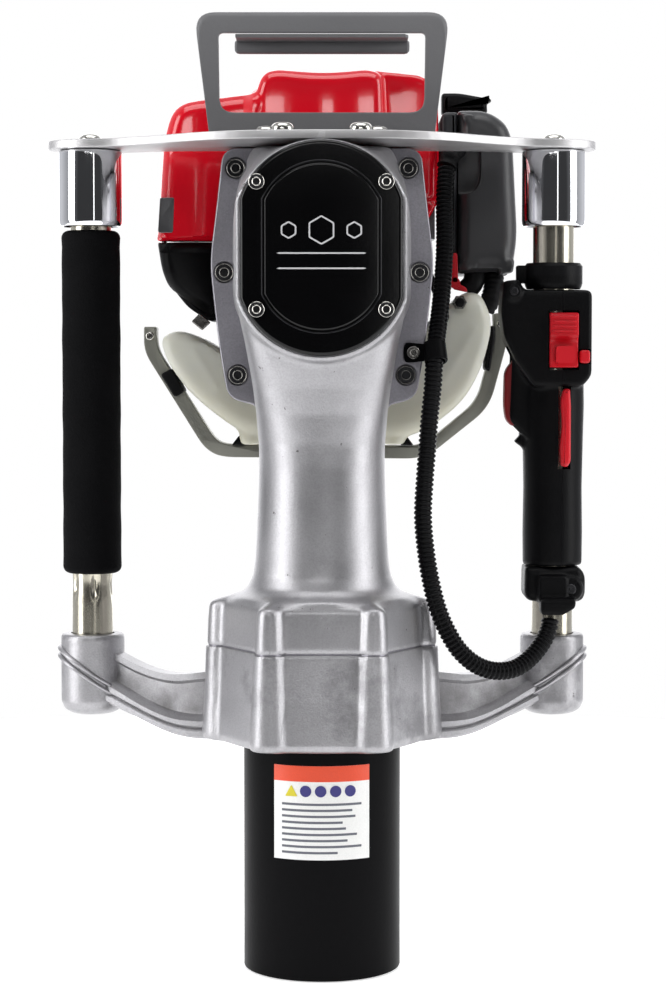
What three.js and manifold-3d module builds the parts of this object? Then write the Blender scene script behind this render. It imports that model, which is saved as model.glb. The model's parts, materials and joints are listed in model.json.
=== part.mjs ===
// Petrol post driver: a two-handled hammer driven by a small four-stroke engine.
// Millimetres, +Z up. Shapes are drawn with z measured up from the barrel's bottom rim;
// the exported group is lowered so that the anvil's striking face lies at the origin.

import * as THREE from 'three';
import { ConvexGeometry } from 'three/addons/geometries/ConvexGeometry.js';
import { mergeVertices } from 'three/addons/utils/BufferGeometryUtils.js';
import Module from 'manifold-3d';

const wasm = await Module();
wasm.setup();

// Driving dimensions
const GAP = 0.3;                 // left between pieces that touch
const ANVIL_FACE = 140;          // height of the striking face above the rim
const BARREL_R = 47.5;
const BARREL_BORE_R = 41.5;
const BARREL_TOP = 195;
const LOWER_BOTTOM = 137.7;      // lower casting
const SPLIT = 195.5;             // joint between the two castings
const FLANGE_TOP = 223;
const BOSS_RING_R = 61;          // bolt bosses round the castings
const BOSS_R = 8.5;
const HANDLE_X = 143.5;          // handle tube axes
const HANDLE_Y = 45;
const TUBE_R = 12.7;
const TUBE_WALL = 2;
const TUBE_FOOT = 162.3;
const SIDE_BOSS_R = 19.7;
const PLATE_BOTTOM = 498;        // top plate
const PLATE_TOP = 503;
const BORE_R = 31.3;             // hammer bore in the neck
const SLEEVE_R = 31;
const SLEEVE_BORE_R = 28;
const PISTON_R = 27.4;
const CRANK_Z = 434;             // hammer crank axis, along Y
const THROW = 18;
const GEAR_TEETH = 32;
const PINION_TEETH = 8;
const MODULE = 2;
const ENGINE_Z = CRANK_Z - MODULE * (GEAR_TEETH + PINION_TEETH) / 2;
const HEAD_FRONT = -52;
const HEAD_BACK = 16;
const FLANGE_BACK = 26;
const CASE_BACK = 60;
const GRIP_SEAM_X = 148;         // where the throttle grip's two shells meet
const CHOKE_X = 84;
const CHOKE_Z = 417.5;
const FUEL_CAP_X = -80;
const FUEL_CAP_Z = 363;
const FINE = 36;                 // sides of the widest round pieces
const ROUND = 24;                // sides of an ordinary round piece
const SMALL = 16;

const finishes = {
  cast: [0xb4b3b8, 0.55, 0.6],
  castDark: [0x8e8d92, 0.5, 0.7],
  steel: [0xb9bab8, 0.3, 1.0],
  chrome: [0xe8e8ea, 0.06, 1.0],
  stainless: [0xb8b5a9, 0.28, 1.0],
  blackPaint: [0x17181a, 0.4, 0.3],
  greyPaint: [0x646266, 0.5, 0.3],
  blastedSteel: [0x97968c, 0.6, 0.7],
  redPlastic: [0xd71e2d, 0.2, 0.0],
  charcoal: [0x434448, 0.5, 0.0],
  blackPlastic: [0x151518, 0.4, 0.0],
  tankPlastic: [0xd7d6c8, 0.45, 0.0],
  rubber: [0x141416, 0.8, 0.0],
  foam: [0x1b1b1d, 0.95, 0.0],
  bronze: [0xb08a4a, 0.35, 1.0],
};

// Shape helpers -------------------------------------------------------------

// Position-only, welded, without empty triangles, and turned outwards.
function closed(geometry) {
  const bare = new THREE.BufferGeometry();
  bare.setAttribute('position', geometry.getAttribute('position'));
  if (geometry.index) bare.setIndex(geometry.index);
  const welded = mergeVertices(bare, 1e-3);
  const places = welded.getAttribute('position');
  const corners = [];
  let volume = 0;
  for (let i = 0; i < welded.index.count; i += 3) {
    const [a, b, c] = [0, 1, 2].map((k) => welded.index.getX(i + k));
    if (a === b || b === c || a === c) continue;
    corners.push(a, b, c);
    const [p, q, r] = [a, b, c].map((k) => new THREE.Vector3().fromBufferAttribute(places, k));
    volume += p.dot(q.cross(r));
  }
  if (volume < 0) corners.reverse();
  welded.setIndex(corners);
  return welded;
}

function solid(geometry) {
  const shape = closed(geometry);
  const vertProperties = new Float32Array(shape.getAttribute('position').array);
  const triVerts = new Uint32Array(shape.index.array);
  return new wasm.Manifold(new wasm.Mesh({ numProp: 3, vertProperties, triVerts }));
}

function geometryOf(manifold) {
  const mesh = manifold.getMesh();
  const geometry = new THREE.BufferGeometry();
  const places = new THREE.BufferAttribute(new Float32Array(mesh.vertProperties), 3);
  geometry.setAttribute('position', places);
  geometry.setIndex(Array.from(mesh.triVerts));
  return geometry;
}

function join(...pieces) {
  return geometryOf(pieces.map(solid).reduce((all, piece) => all.add(piece)));
}

function cut(base, ...tools) {
  return geometryOf(tools.map(solid).reduce((left, tool) => left.subtract(tool), solid(base)));
}

function keep(base, tool) {
  return geometryOf(solid(base).intersect(solid(tool)));
}

function block(x0, x1, y0, y1, z0, z1) {
  const box = new THREE.BoxGeometry(x1 - x0, y1 - y0, z1 - z0);
  return box.translate((x0 + x1) / 2, (y0 + y1) / 2, (z0 + z1) / 2);
}

// A turned piece: [radius, height] pairs about +Z.
function turned(profile, sides = ROUND) {
  const points = profile.map(([radius, height]) => new THREE.Vector2(radius, height));
  return new THREE.LatheGeometry(points, sides).rotateX(Math.PI / 2);
}

function ring(inner, outer, z0, z1, sides = ROUND) {
  return turned([[inner, z0], [outer, z0], [outer, z1], [inner, z1], [inner, z0]], sides);
}

function disc(radius, z0, z1, sides = ROUND) {
  return turned([[0, z0], [radius, z0], [radius, z1], [0, z1]], sides);
}

// Turns a piece made about +Z so that its height runs along +Y, at x and z.
function alongY(geometry, x = 0, z = 0) {
  return geometry.rotateX(-Math.PI / 2).translate(x, 0, z);
}

function alongX(geometry, y = 0, z = 0) {
  return geometry.rotateY(Math.PI / 2).translate(0, y, z);
}

// An outline whose corners [x, y, radius] are rounded.
function outline(corners) {
  const shape = new THREE.Shape();
  const count = corners.length;
  corners.forEach(([x, y, radius = 0], i) => {
    const corner = new THREE.Vector2(x, y);
    const [before, after] = [count - 1, 1].map((step) => {
      const [nx, ny] = corners[(i + step) % count];
      const way = new THREE.Vector2(nx - x, ny - y);
      return corner.clone().add(way.setLength(Math.min(radius, way.length() * 0.45)));
    });
    if (i === 0) shape.moveTo(before.x, before.y);
    else shape.lineTo(before.x, before.y);
    if (radius > 0) shape.quadraticCurveTo(x, y, after.x, after.y);
  });
  shape.closePath();
  return shape;
}

// Mirrors a half outline, listed from the top centre down the +X side, about x = 0.
function mirrored(half) {
  const other = half.slice().reverse().map(([x, y, radius]) => [-x, y, radius]);
  return half.concat(other).filter(([x], i, all) => x !== 0 || i === 0 || all[i - 1][0] !== 0);
}

function plan(corners, z0, z1, curveSegments = 3) {
  const options = { depth: z1 - z0, bevelEnabled: false, curveSegments };
  return new THREE.ExtrudeGeometry(outline(corners), options).translate(0, 0, z0);
}

// A front-view outline (x, z) carried from y0 back to y1.
function front(corners, y0, y1, curveSegments = 3) {
  return plan(corners, -y1, -y0, curveSegments).rotateX(Math.PI / 2);
}

function hull(...points) {
  return new ConvexGeometry(points.map(([x, y, z]) => new THREE.Vector3(x, y, z)));
}

function tube(route, radius, sides, steps) {
  const path = new THREE.CatmullRomCurve3(route.map(([x, y, z]) => new THREE.Vector3(x, y, z)));
  const section = new THREE.Shape();
  for (let i = 0; i < sides; i += 1) {
    const angle = i / sides * 2 * Math.PI;
    const [x, y] = [radius * Math.cos(angle), radius * Math.sin(angle)];
    if (i === 0) section.moveTo(x, y);
    else section.lineTo(x, y);
  }
  section.closePath();
  return new THREE.ExtrudeGeometry(section, { steps, extrudePath: path, bevelEnabled: false });
}

function gear(teeth, rootR, tipR, rootHalf, tipHalf, y0, y1, turn = 0) {
  const shape = new THREE.Shape();
  for (let i = 0; i < teeth; i += 1) {
    const middle = i / teeth * 2 * Math.PI + turn;
    const flank = [[rootR, -rootHalf], [tipR, -tipHalf], [tipR, tipHalf], [rootR, rootHalf]];
    flank.forEach(([radius, offset], k) => {
      const angle = middle + offset / radius;
      const [x, z] = [radius * Math.sin(angle), radius * Math.cos(angle)];
      if (i === 0 && k === 0) shape.moveTo(x, z);
      else shape.lineTo(x, z);
    });
  }
  shape.closePath();
  const options = { depth: y1 - y0, bevelEnabled: false };
  return new THREE.ExtrudeGeometry(shape, options).translate(0, 0, -y1).rotateX(Math.PI / 2);
}

// The driver ----------------------------------------------------------------

const driver = new THREE.Group();
driver.position.z = -ANVIL_FACE;

function add(name, geometry, finish, parent = driver) {
  const [color, roughness, metalness] = finishes[finish];
  const material = new THREE.MeshStandardMaterial({ color, roughness, metalness });
  const mesh = new THREE.Mesh(closed(geometry), material);
  mesh.name = name;
  parent.add(mesh);
  return mesh;
}

function group(x, y, z) {
  const holder = new THREE.Group();
  holder.position.set(x, y, z);
  driver.add(holder);
  return holder;
}

// Plan of both castings: six bolt bosses joined by straight walls.
function castingPlan(grow = 0) {
  const corners = [];
  for (let i = 0; i < 6; i += 1) {
    const angle = i * Math.PI / 3;
    for (const lean of [-50, 0, 50]) {
      const way = angle + lean * Math.PI / 180;
      const x = BOSS_RING_R * Math.cos(angle) + (BOSS_R + grow) * Math.cos(way);
      const y = BOSS_RING_R * Math.sin(angle) + (BOSS_R + grow) * Math.sin(way);
      corners.push([x, y]);
    }
  }
  return corners;
}

function hammerBarrel() {
  add('barrel', ring(BARREL_BORE_R, BARREL_R, 0, BARREL_TOP, FINE), 'blackPaint');
}

function lowerCasting() {
  const arms = [-1, 1].flatMap((side) => {
    const web = hull(
      [side * 58, 8, 142], [side * 58, 20, 142], [side * 58, 8, 177], [side * 58, 20, 177],
      [side * 92, 17, 140], [side * 92, 30, 140], [side * 92, 17, 174], [side * 92, 30, 174],
    );
    const tip = hull(
      [side * 90, 17, 140], [side * 90, 30, 140], [side * 90, 17, 174], [side * 90, 30, 174],
      [side * 132, 34, 158], [side * 132, 46, 158], [side * 132, 34, 192], [side * 132, 46, 192],
    );
    const railRoot = hull(
      [side * 58, 3, 137.8], [side * 58, 30, 137.8], [side * 58, 3, 149], [side * 58, 30, 149],
      [side * 92, 13, 139], [side * 92, 36, 139], [side * 92, 13, 151], [side * 92, 36, 151],
    );
    const railTip = hull(
      [side * 90, 13, 139], [side * 90, 36, 139], [side * 90, 13, 151], [side * 90, 36, 151],
      [side * 130, 30, 156], [side * 130, 54, 156], [side * 130, 30, 169], [side * 130, 54, 169],
    );
    const boss = turned([[0, 148], [12, 148], [SIDE_BOSS_R, 156], [SIDE_BOSS_R, 198.5], [0, 198.5]]);
    return [web, tip, railRoot, railTip, boss.translate(side * HANDLE_X, HANDLE_Y, 0)];
  });
  const holes = [-1, 1].map((side) => {
    const hole = disc(TUBE_R + GAP, TUBE_FOOT - GAP, 200, SMALL);
    return hole.translate(side * HANDLE_X, HANDLE_Y, 0);
  });
  const body = join(plan(castingPlan(1.5), LOWER_BOTTOM, SPLIT), ...arms);
  add('lower_casting', cut(body, disc(BARREL_R + GAP, 130, 200, FINE), ...holes), 'cast');
}

const headHalf = [
  [0, 497], [42, 497, 4], [52.5, 470, 10], [54, 450, 8], [54, 400, 8], [46, 388, 6],
  [42, 366, 10], [38, 330], [0, 330],
];
const flangeHalf = [
  [0, 497], [60, 497, 8], [63.2, 466, 6], [68.5, 430, 10], [62, 377, 12], [57, 344, 8],
  [38, 341, 3], [38, 325], [0, 325],
];

function driveHousing() {
  const flange = plan(castingPlan(), SPLIT + GAP, FLANGE_TOP);
  const neck = turned([
    [0, FLANGE_TOP - 4], [61, FLANGE_TOP - 4], [60, 224.6], [48.5, 228], [45, 231.5], [41.3, 239],
    [40, 248], [38.5, 290], [38, 330], [38, 386], [0, 386],
  ], FINE);
  const body = join(
    flange, neck, front(mirrored(headHalf), HEAD_FRONT, HEAD_BACK),
    front(mirrored(flangeHalf), HEAD_BACK - 1, FLANGE_BACK),
  );
  add('drive_housing', cut(
    body,
    disc(BORE_R + GAP, 190, 384.4),
    alongY(disc(37, HEAD_FRONT - 5, 14), 0, CRANK_Z),
    block(-26, 26, -26, 12, 380, 406),
    alongY(disc(17.4, 10, 30), 0, CRANK_Z),
  ), 'cast');
  add('head_cover', join(
    front([
      [0, 496.2, 20], [33, 491, 10], [47.3, 464, 12], [47.3, 402, 12], [33, 375.5, 10], [0, 370.4, 20],
      [-33, 375.5, 10], [-47.3, 402, 12], [-47.3, 464, 12], [-33, 491, 10],
    ], -58, HEAD_FRONT - GAP),
    front([
      [25, 482, 10], [33.2, 460, 8], [33.2, 408, 8], [25, 385.5, 10], [-25, 385.5, 10],
      [-33.2, 408, 8], [-33.2, 460, 8], [-25, 482, 10],
    ], -60.3, -57),
  ), 'blackPaint');
  const caseHalf = flangeHalf.slice(0, -2).concat([[0, 341]]);
  const caseBody = front(mirrored(caseHalf), FLANGE_BACK + GAP, CASE_BACK);
  add('gear_case', cut(
    caseBody,
    disc(38.6, 320, 386.4, FINE),
    alongY(disc(36, 39, 56), 0, CRANK_Z),
    alongY(disc(13, 39, 56, SMALL), 0, ENGINE_Z),
    alongY(disc(9, 20, 42, SMALL), 0, CRANK_Z),
    alongY(disc(6, 50, 64, SMALL), 0, ENGINE_Z),
  ), 'cast');
}

// Hammer parts on the barrel's axis, all inside.
function hammer() {
  add('anvil', join(disc(41, ANVIL_FACE, 165, FINE), disc(22, 160, 225)), 'steel');
  add('anvil_retaining_ring', ring(22.4, 27, 194.4, 199), 'steel');
  add('anvil_buffer', ring(24, 40, 175.5, 179.7), 'rubber');
  add('anvil_bush', ring(22.4, 41, 180, 194), 'bronze');
  add('cylinder_sleeve', ring(SLEEVE_BORE_R, SLEEVE_R, 226, 384), 'steel');
  add('striker', disc(PISTON_R, 236, 290), 'steel');
  add('ram_piston', turned([
    [0, 316], [PISTON_R, 316], [PISTON_R, 346], [22, 346], [22, 324], [0, 324],
  ]), 'steel');
  add('wrist_pin', alongX(disc(4, -21, 21, SMALL), -1, 336), 'steel');
  const pinZ = CRANK_Z - THROW;
  const rod = join(
    front([[-5, 336], [5, 336], [7, pinZ], [-7, pinZ]], -5, 3),
    alongX(disc(8.5, -6, 6, SMALL), -1, 336),
    alongY(disc(11, -5, 3, SMALL), 0, pinZ),
    alongY(disc(6, -8, 3.4, SMALL), 0, pinZ),
  );
  add('connecting_rod', cut(rod, alongX(disc(4.3, -20, 20, SMALL), -1, 336)), 'steel');
}

// Hammer crank and its reduction gear; both turn about Y.
function reduction() {
  const crank = group(0, 0, CRANK_Z);
  const crankshaft = join(alongY(disc(30, 4, 12)), alongY(disc(7.8, 11, 54, SMALL)));
  add('hammer_crankshaft', crankshaft, 'steel', crank);
  add('crank_bearing', alongY(ring(8.1, 16.8, 15, 25, SMALL)), 'steel', crank);
  const wheel = gear(GEAR_TEETH, 29.6, 33.7, 1.9, 0.8, 42, 50);
  add('drive_gear', cut(wheel, alongY(disc(8.1, 30, 60, SMALL))), 'steel', crank);
  const clutch = group(0, 0, ENGINE_Z);
  const half = Math.PI / PINION_TEETH;
  add('drive_pinion', join(
    gear(PINION_TEETH, 5.6, 9.7, 1.5, 0.7, 41.5, 50.5, half),
    alongY(disc(5, 50, 66, SMALL)),
  ), 'steel', clutch);
  add('clutch_drum', alongY(turned([
    [0, 66.3], [27, 66.3], [27, 84], [25, 84], [25, 69.3], [0, 69.3],
  ])), 'steel', clutch);
  add('clutch_housing', alongY(turned([
    [9, CASE_BACK + GAP], [34, CASE_BACK + GAP], [42, 70], [42, 88], [36, 88], [36, 73], [30, 64.5],
    [9, 64.5], [9, CASE_BACK + GAP],
  ])), 'cast', clutch);
}

function topPlate() {
  const half = [
    [0, -43, 30], [60, -38, 40], [120, 14, 40], [150, 19, 10], [169, 33, 12], [169, 56, 12],
    [152, 71, 12], [128, 66, 12], [100, 52, 30], [60, 50, 20], [0, 50],
  ];
  add('top_plate', plan(mirrored(half), PLATE_BOTTOM, PLATE_TOP, 4), 'blastedSteel');
  const [plateFront, plateBack] = [13, 18];
  const upright = front([
    [-68.2, PLATE_TOP + GAP, 3], [68.2, PLATE_TOP + GAP, 3], [77.7, 579, 11], [-77.7, 579, 11],
  ], plateFront, plateBack);
  const opening = front([[-62, 518.3, 9], [62, 518.3, 9], [62, 566.2, 4], [-62, 566.2, 4]], 0, 30);
  const roof = block(-64, 64, 15, 33, 575, 579);
  const foot = block(-58, 58, 15, 40, PLATE_TOP + GAP, 508);
  const tongue = hull(
    [-57, 14, 566.3], [57, 14, 566.3], [-57, 14, 570], [57, 14, 570],
    [-56, 42, 563], [56, 42, 563], [-56, 42, 567], [56, 42, 567],
  );
  const lip = block(-53, 53, 38.5, 42, 556.5, 565);
  add('carry_handle', join(cut(upright, opening), roof, foot, tongue, lip), 'greyPaint');
}

function handleFittings(side, parent) {
  add(`${side}_tube`, ring(TUBE_R - TUBE_WALL, TUBE_R, TUBE_FOOT, 493, SMALL), 'stainless', parent);
  add(`${side}_cap`, turned([
    [0, PLATE_BOTTOM - GAP], [18, PLATE_BOTTOM - GAP], [SIDE_BOSS_R, 496], [SIDE_BOSS_R, 454],
    [18.6, 451], [17.6, 451], [18.6, 455], [18.6, 494], [0, 494],
  ], SMALL), 'chrome', parent);
}

function leftHandle() {
  const holder = group(-HANDLE_X, HANDLE_Y, 0);
  handleFittings('left', holder);
  add('foam_grip', turned([
    [TUBE_R + GAP, 236], [16, 236], [18.2, 238.5], [18.2, 446], [16, 448.5], [TUBE_R + GAP, 448.5],
    [TUBE_R + GAP, 236],
  ], SMALL), 'foam', holder);
}

function throttleGrip() {
  const holder = group(HANDLE_X, HANDLE_Y, 0);
  handleFittings('right', holder);
  add('grip_collar', ring(TUBE_R + GAP, 18, 414.7, 428.2, SMALL), 'blackPlastic', holder);
  const clamp = ring(TUBE_R + GAP, 18.4, 221, 236.5, SMALL).translate(HANDLE_X, HANDLE_Y, 0);
  const socket = block(132, 149, 14.5, 28, 211.4, 222);
  const bridge = block(134, 147, 24, 31, 218, 235);
  add('grip_clamp', join(clamp, socket, bridge), 'blackPlastic');

  const upper = front([
    [111.4, 417, 2], [109.8, 398, 3], [111.8, 382.8, 3], [122, 362, 6], [130, 352], [160, 352, 3],
    [166, 358, 3], [166, 411.6, 4], [124, 411.6, 2], [121, 418, 2],
  ], 24, 63);
  const lower = turned([
    [0, 238], [15, 238], [19.3, 247], [19, 357], [0, 357],
  ], SMALL).translate(HANDLE_X, HANDLE_Y, 0);
  const nose = front([[116, 330, 3], [128, 318, 3], [130, 372, 2], [118, 372, 3]], 34, 56);
  const body = join(upper, lower, nose);
  const room = [
    disc(TUBE_R + GAP, 230, 420, SMALL).translate(HANDLE_X, HANDLE_Y, 0),
    block(105, 129.6, 36.4, 53.6, 323, 376),
    block(145.2, 153.3, 15, 31.2, 301.6, 352),
    block(138.8, 157.8, 18, 31.2, 362.9, 398.6),
    alongY(disc(3.6, 18, 34, 12), 161, 370.6),
  ];
  const inner = block(100, GRIP_SEAM_X - GAP / 2, 0, 80, 230, 430);
  const outer = block(GRIP_SEAM_X + GAP / 2, 180, 0, 80, 230, 430);
  const whole = cut(body, ...room);
  add('grip_inner_shell', keep(whole, inner), 'blackPlastic');
  add('grip_outer_shell', keep(whole, outer), 'blackPlastic');

  add('throttle_trigger', front([
    [127, 371, 1], [120.5, 371, 2], [113.2, 362, 3], [112.7, 340, 4], [114, 331, 2], [118.5, 327, 2],
    [121, 331, 1], [120.5, 345, 3], [122, 358, 3], [127, 363, 1],
  ], 37, 53, 2), 'redPlastic');
  add('lockout_lever', hull(
    [145.8, 27.5, 351], [152.7, 27.5, 351], [145.8, 24, 351], [152.7, 24, 351],
    [145.8, 20.5, 344], [152.7, 20.5, 344], [145.8, 19.5, 310], [152.7, 19.5, 310],
    [145.8, 24, 302.6], [152.7, 24, 302.6], [145.8, 26.5, 302.6], [152.7, 26.5, 302.6],
  ), 'redPlastic');
  add('stop_rocker', hull(
    [139.3, 28.5, 363.4], [157.3, 28.5, 363.4], [139.3, 28.5, 398], [157.3, 28.5, 398],
    [139.3, 22, 364], [157.3, 22, 364], [139.3, 20, 397.4], [157.3, 20, 397.4],
    [139.3, 23.4, 380], [157.3, 23.4, 380],
  ), 'redPlastic');
  add('lock_button', alongY(disc(3.2, 20.5, 28, 12), 161, 370.6), 'redPlastic');
}

// Corrugated throttle conduit, from the carburettor's elbow boot round to the grip's foot.
const conduitRoute = [
  [78, 70, 489], [76.6, 62, 469], [76.3, 50, 440], [74.3, 38, 414], [71.7, 26, 393], [68.8, 14, 373],
  [67.4, 8, 353], [65.2, 4, 333], [63.6, 1, 313], [62.3, -1, 297], [61.1, -4, 274], [63, -9, 251],
  [65.9, -13, 234], [70, -14.5, 218.5], [75.8, -14, 205], [83.5, -12, 193], [94.2, -8, 184],
  [106.3, -2, 180], [118.3, 5, 181], [128.2, 12, 187], [136, 18, 196], [139.7, 20.8, 204],
  [140.5, 21.8, 209.4],
];

function throttleCable() {
  add('throttle_conduit', tube(conduitRoute, 5.6, 8, 40), 'blackPlastic');
  const bootRoute = [[78.3, 70.8, 491.2], [81, 74, 497], [83.6, 76.6, 500.6], [85.4, 78, 502]];
  add('elbow_boot', tube(bootRoute, 5.8, 8, 5), 'rubber');
  const clip = join(
    ring(6.4, 7.9, -3.5, 3.5, SMALL).rotateX(-0.42).rotateY(-0.1).translate(69, 14.4, 373),
    block(52, 62.3, 12.2, 15.6, 369.5, 376.5),
  );
  const flange = front(mirrored(flangeHalf), HEAD_BACK - 1 - GAP, FLANGE_BACK + 1);
  add('conduit_clip', cut(clip, flange), 'blackPaint');
}

// Engine --------------------------------------------------------------------

function engineCore() {
  const shell = front([
    [40, 431, 6], [44, 400, 8], [34, 362, 10], [-34, 362, 10], [-44, 400, 8], [-40, 431, 6],
  ], 88.3, 150);
  const cavity = front([
    [34, 427, 4], [38, 400, 6], [29, 367, 8], [-29, 367, 8], [-38, 400, 6], [-34, 427, 4],
  ], 93, 145);
  add('crankcase', cut(
    shell, cavity,
    alongY(disc(7.4, 80, 160, SMALL), 0, ENGINE_Z),
    disc(18.4, 420, 436, SMALL).translate(0, 119, 0),
  ), 'cast');
  const core = block(-31, 31, 92, 146, 431.3, 498);
  const fins = [446, 460, 474].map((z) => block(-37, 37, 86, 148, z, z + 2.4));
  const bore = disc(18.4, 425, 488, SMALL).translate(0, 119, 0);
  add('cylinder_block', cut(join(core, ...fins), bore), 'cast');
  add('engine_piston', join(disc(18, 449, 468, SMALL).translate(0, 119, 0), hull(
    [-5, 116, 404], [5, 116, 404], [-5, 122, 404], [5, 122, 404],
    [-4, 116, 452], [4, 116, 452], [-4, 122, 452], [4, 122, 452],
  )), 'steel');
  const shaft = group(0, 0, ENGINE_Z);
  add('engine_crankshaft', join(
    alongY(disc(7, 69.8, 196, SMALL)),
    alongY(disc(22, 98, 106)),
    alongY(disc(24, 72, 83)),
  ), 'steel', shaft);
  const rotor = cut(
    join(alongY(ring(10, 50, 154, 158)), alongY(ring(7.3, 22, 154, 172, SMALL))),
    alongY(disc(7.3, 150, 180, SMALL)),
  );
  const blades = Array.from({ length: 8 }, (unused, i) => {
    const blade = block(21, 49, -1.2, 1.2, 157, 170);
    return alongY(blade.rotateZ(i * Math.PI / 4));
  });
  add('flywheel_fan', join(rotor, ...blades), 'cast', shaft);
  add('starter_pulley', alongY(turned([
    [9, 196.5], [20, 196.5], [16, 199], [16, 201], [20, 203.5], [9, 203.5], [9, 196.5],
  ], SMALL)), 'blackPlastic', shaft);
  add('recoil_cover', cut(
    alongY(turned([
      [0, 211], [40, 211], [54, 203], [57, 188.3], [54, 188.3], [51, 200], [38, 207.5], [8, 207.5],
      [8, 204.5], [0, 204.5],
    ])),
    ...Array.from({ length: 8 }, (unused, i) => {
      const slot = block(24, 38, -3, 3, 204, 215);
      return alongY(slot.rotateZ(i * Math.PI / 4));
    }),
  ), 'charcoal', shaft);
  const plug = turned([[0, 498.3], [6, 498.3], [6, 512], [9, 512], [9, 530], [0, 530]], SMALL);
  add('spark_plug', plug.translate(0, 119, 0), 'rubber');
}

function fanShroud() {
  const shell = front([
    [58, 502, 14], [66, 440, 12], [66, 366, 24], [40, 332, 18], [-40, 332, 18], [-66, 366, 24],
    [-66, 440, 12], [-58, 502, 14],
  ], 150.4, 188);
  const ropeArm = hull(
    [50, 176, 500], [50, 188, 500], [62, 176, 455], [62, 188, 455],
    [84, 190, 527], [84, 208, 527], [110, 190, 523.5], [110, 208, 523.5],
    [84, 190, 512], [84, 208, 512], [106, 190, 510], [106, 208, 510],
  );
  add('fan_shroud', cut(
    join(shell, ropeArm),
    alongY(disc(54, 153, 184), 0, ENGINE_Z),
    alongY(disc(30, 140, 160, SMALL), 0, ENGINE_Z),
    alongY(disc(48, 180, 190), 0, ENGINE_Z),
    alongY(disc(57.8, 188.1, 212), 0, ENGINE_Z),
    block(-50, 50, 155, 184, 452, 496),
    block(-20, 20, 140, 160, 455, 490),
  ), 'charcoal');
  add('starter_grip', hull(
    [80, 192, 537], [80, 207, 537], [80, 192, 549], [80, 207, 549],
    [97, 190, 533], [97, 209, 533], [97, 190, 549.5], [97, 209, 549.5],
    [114, 192, 531.5], [114, 207, 531.5], [114, 192, 544], [114, 207, 544],
  ), 'blackPlastic');
}

function engineCovers() {
  const skin = [
    [-106, 444, 2], [-104.5, 450, 4], [-100.6, 513, 10], [-93, 531, 10], [-42.5, 539.5, 4],
    [-38.6, 550, 4], [-30, 553, 4], [0, 551.5, 20], [36, 553, 4], [66, 550, 6], [73, 536, 6],
    [74.2, 500, 3], [74.2, 494, 1],
  ];
  const inside = [
    [71.2, 490], [71.2, 500, 3], [70, 535, 5], [64, 547, 5], [36, 550, 4], [0, 548.5, 20],
    [-29, 550, 4],
    [-36, 548, 3], [-40, 536.4, 4], [-91, 528, 9], [-97.6, 511, 9], [-101.5, 450, 4], [-103, 440],
  ];
  const wrap = front(skin.concat([[71, 494], ...inside.slice(1, -1), [-103, 444]]), 74, 175);
  const face = front([
    [-103.5, 444.3], [-101.5, 450, 4], [-97.6, 512, 9], [-91, 529, 9], [-40, 537, 4], [-36, 549, 3],
    [66, 548, 5], [72, 535, 5], [72, 505], [40, 505], [-70, 505], [-74, 470], [-76, 444.3],
  ], 74, 77);
  add('top_cover', join(wrap, face), 'redPlastic');
  add('muffler', cut(
    block(-94, -40, 96, 142, 446, 494),
    block(-91, -43, 99, 139, 449, 491),
    block(-100, -80, 108, 122, 455, 468),
  ), 'blastedSteel');
  add('muffler_guard', cut(
    front([
      [-105, 443.5, 1], [-99.5, 423.6, 2], [-98, 416, 2], [-88, 408, 3], [-70, 395, 2], [-66, 400, 2],
      [-66, 443.5, 1],
    ], 86, 150),
    front([[-101, 446], [-96, 424, 2], [-95, 418, 2], [-86, 411, 3], [-69, 399.5, 1], [-69, 446]], 90, 146),
  ), 'charcoal');
  add('air_filter_case', cut(
    block(75.2, 85.8, 88, 152, 424, 526),
    block(79, 90, 92, 148, 428, 522),
    alongX(disc(8, 70, 82, SMALL), 112, 462),
  ), 'charcoal');
  add('air_filter_cover', cut(
    front([
      [86.1, 527.5], [108, 527.5, 12], [121.5, 515, 12], [124.8, 445, 8], [121.5, 426, 5],
      [86.1, 423],
    ], 84.4, 154),
    block(80, 118, 88.4, 150, 428, 516),
  ), 'charcoal');
}

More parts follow.
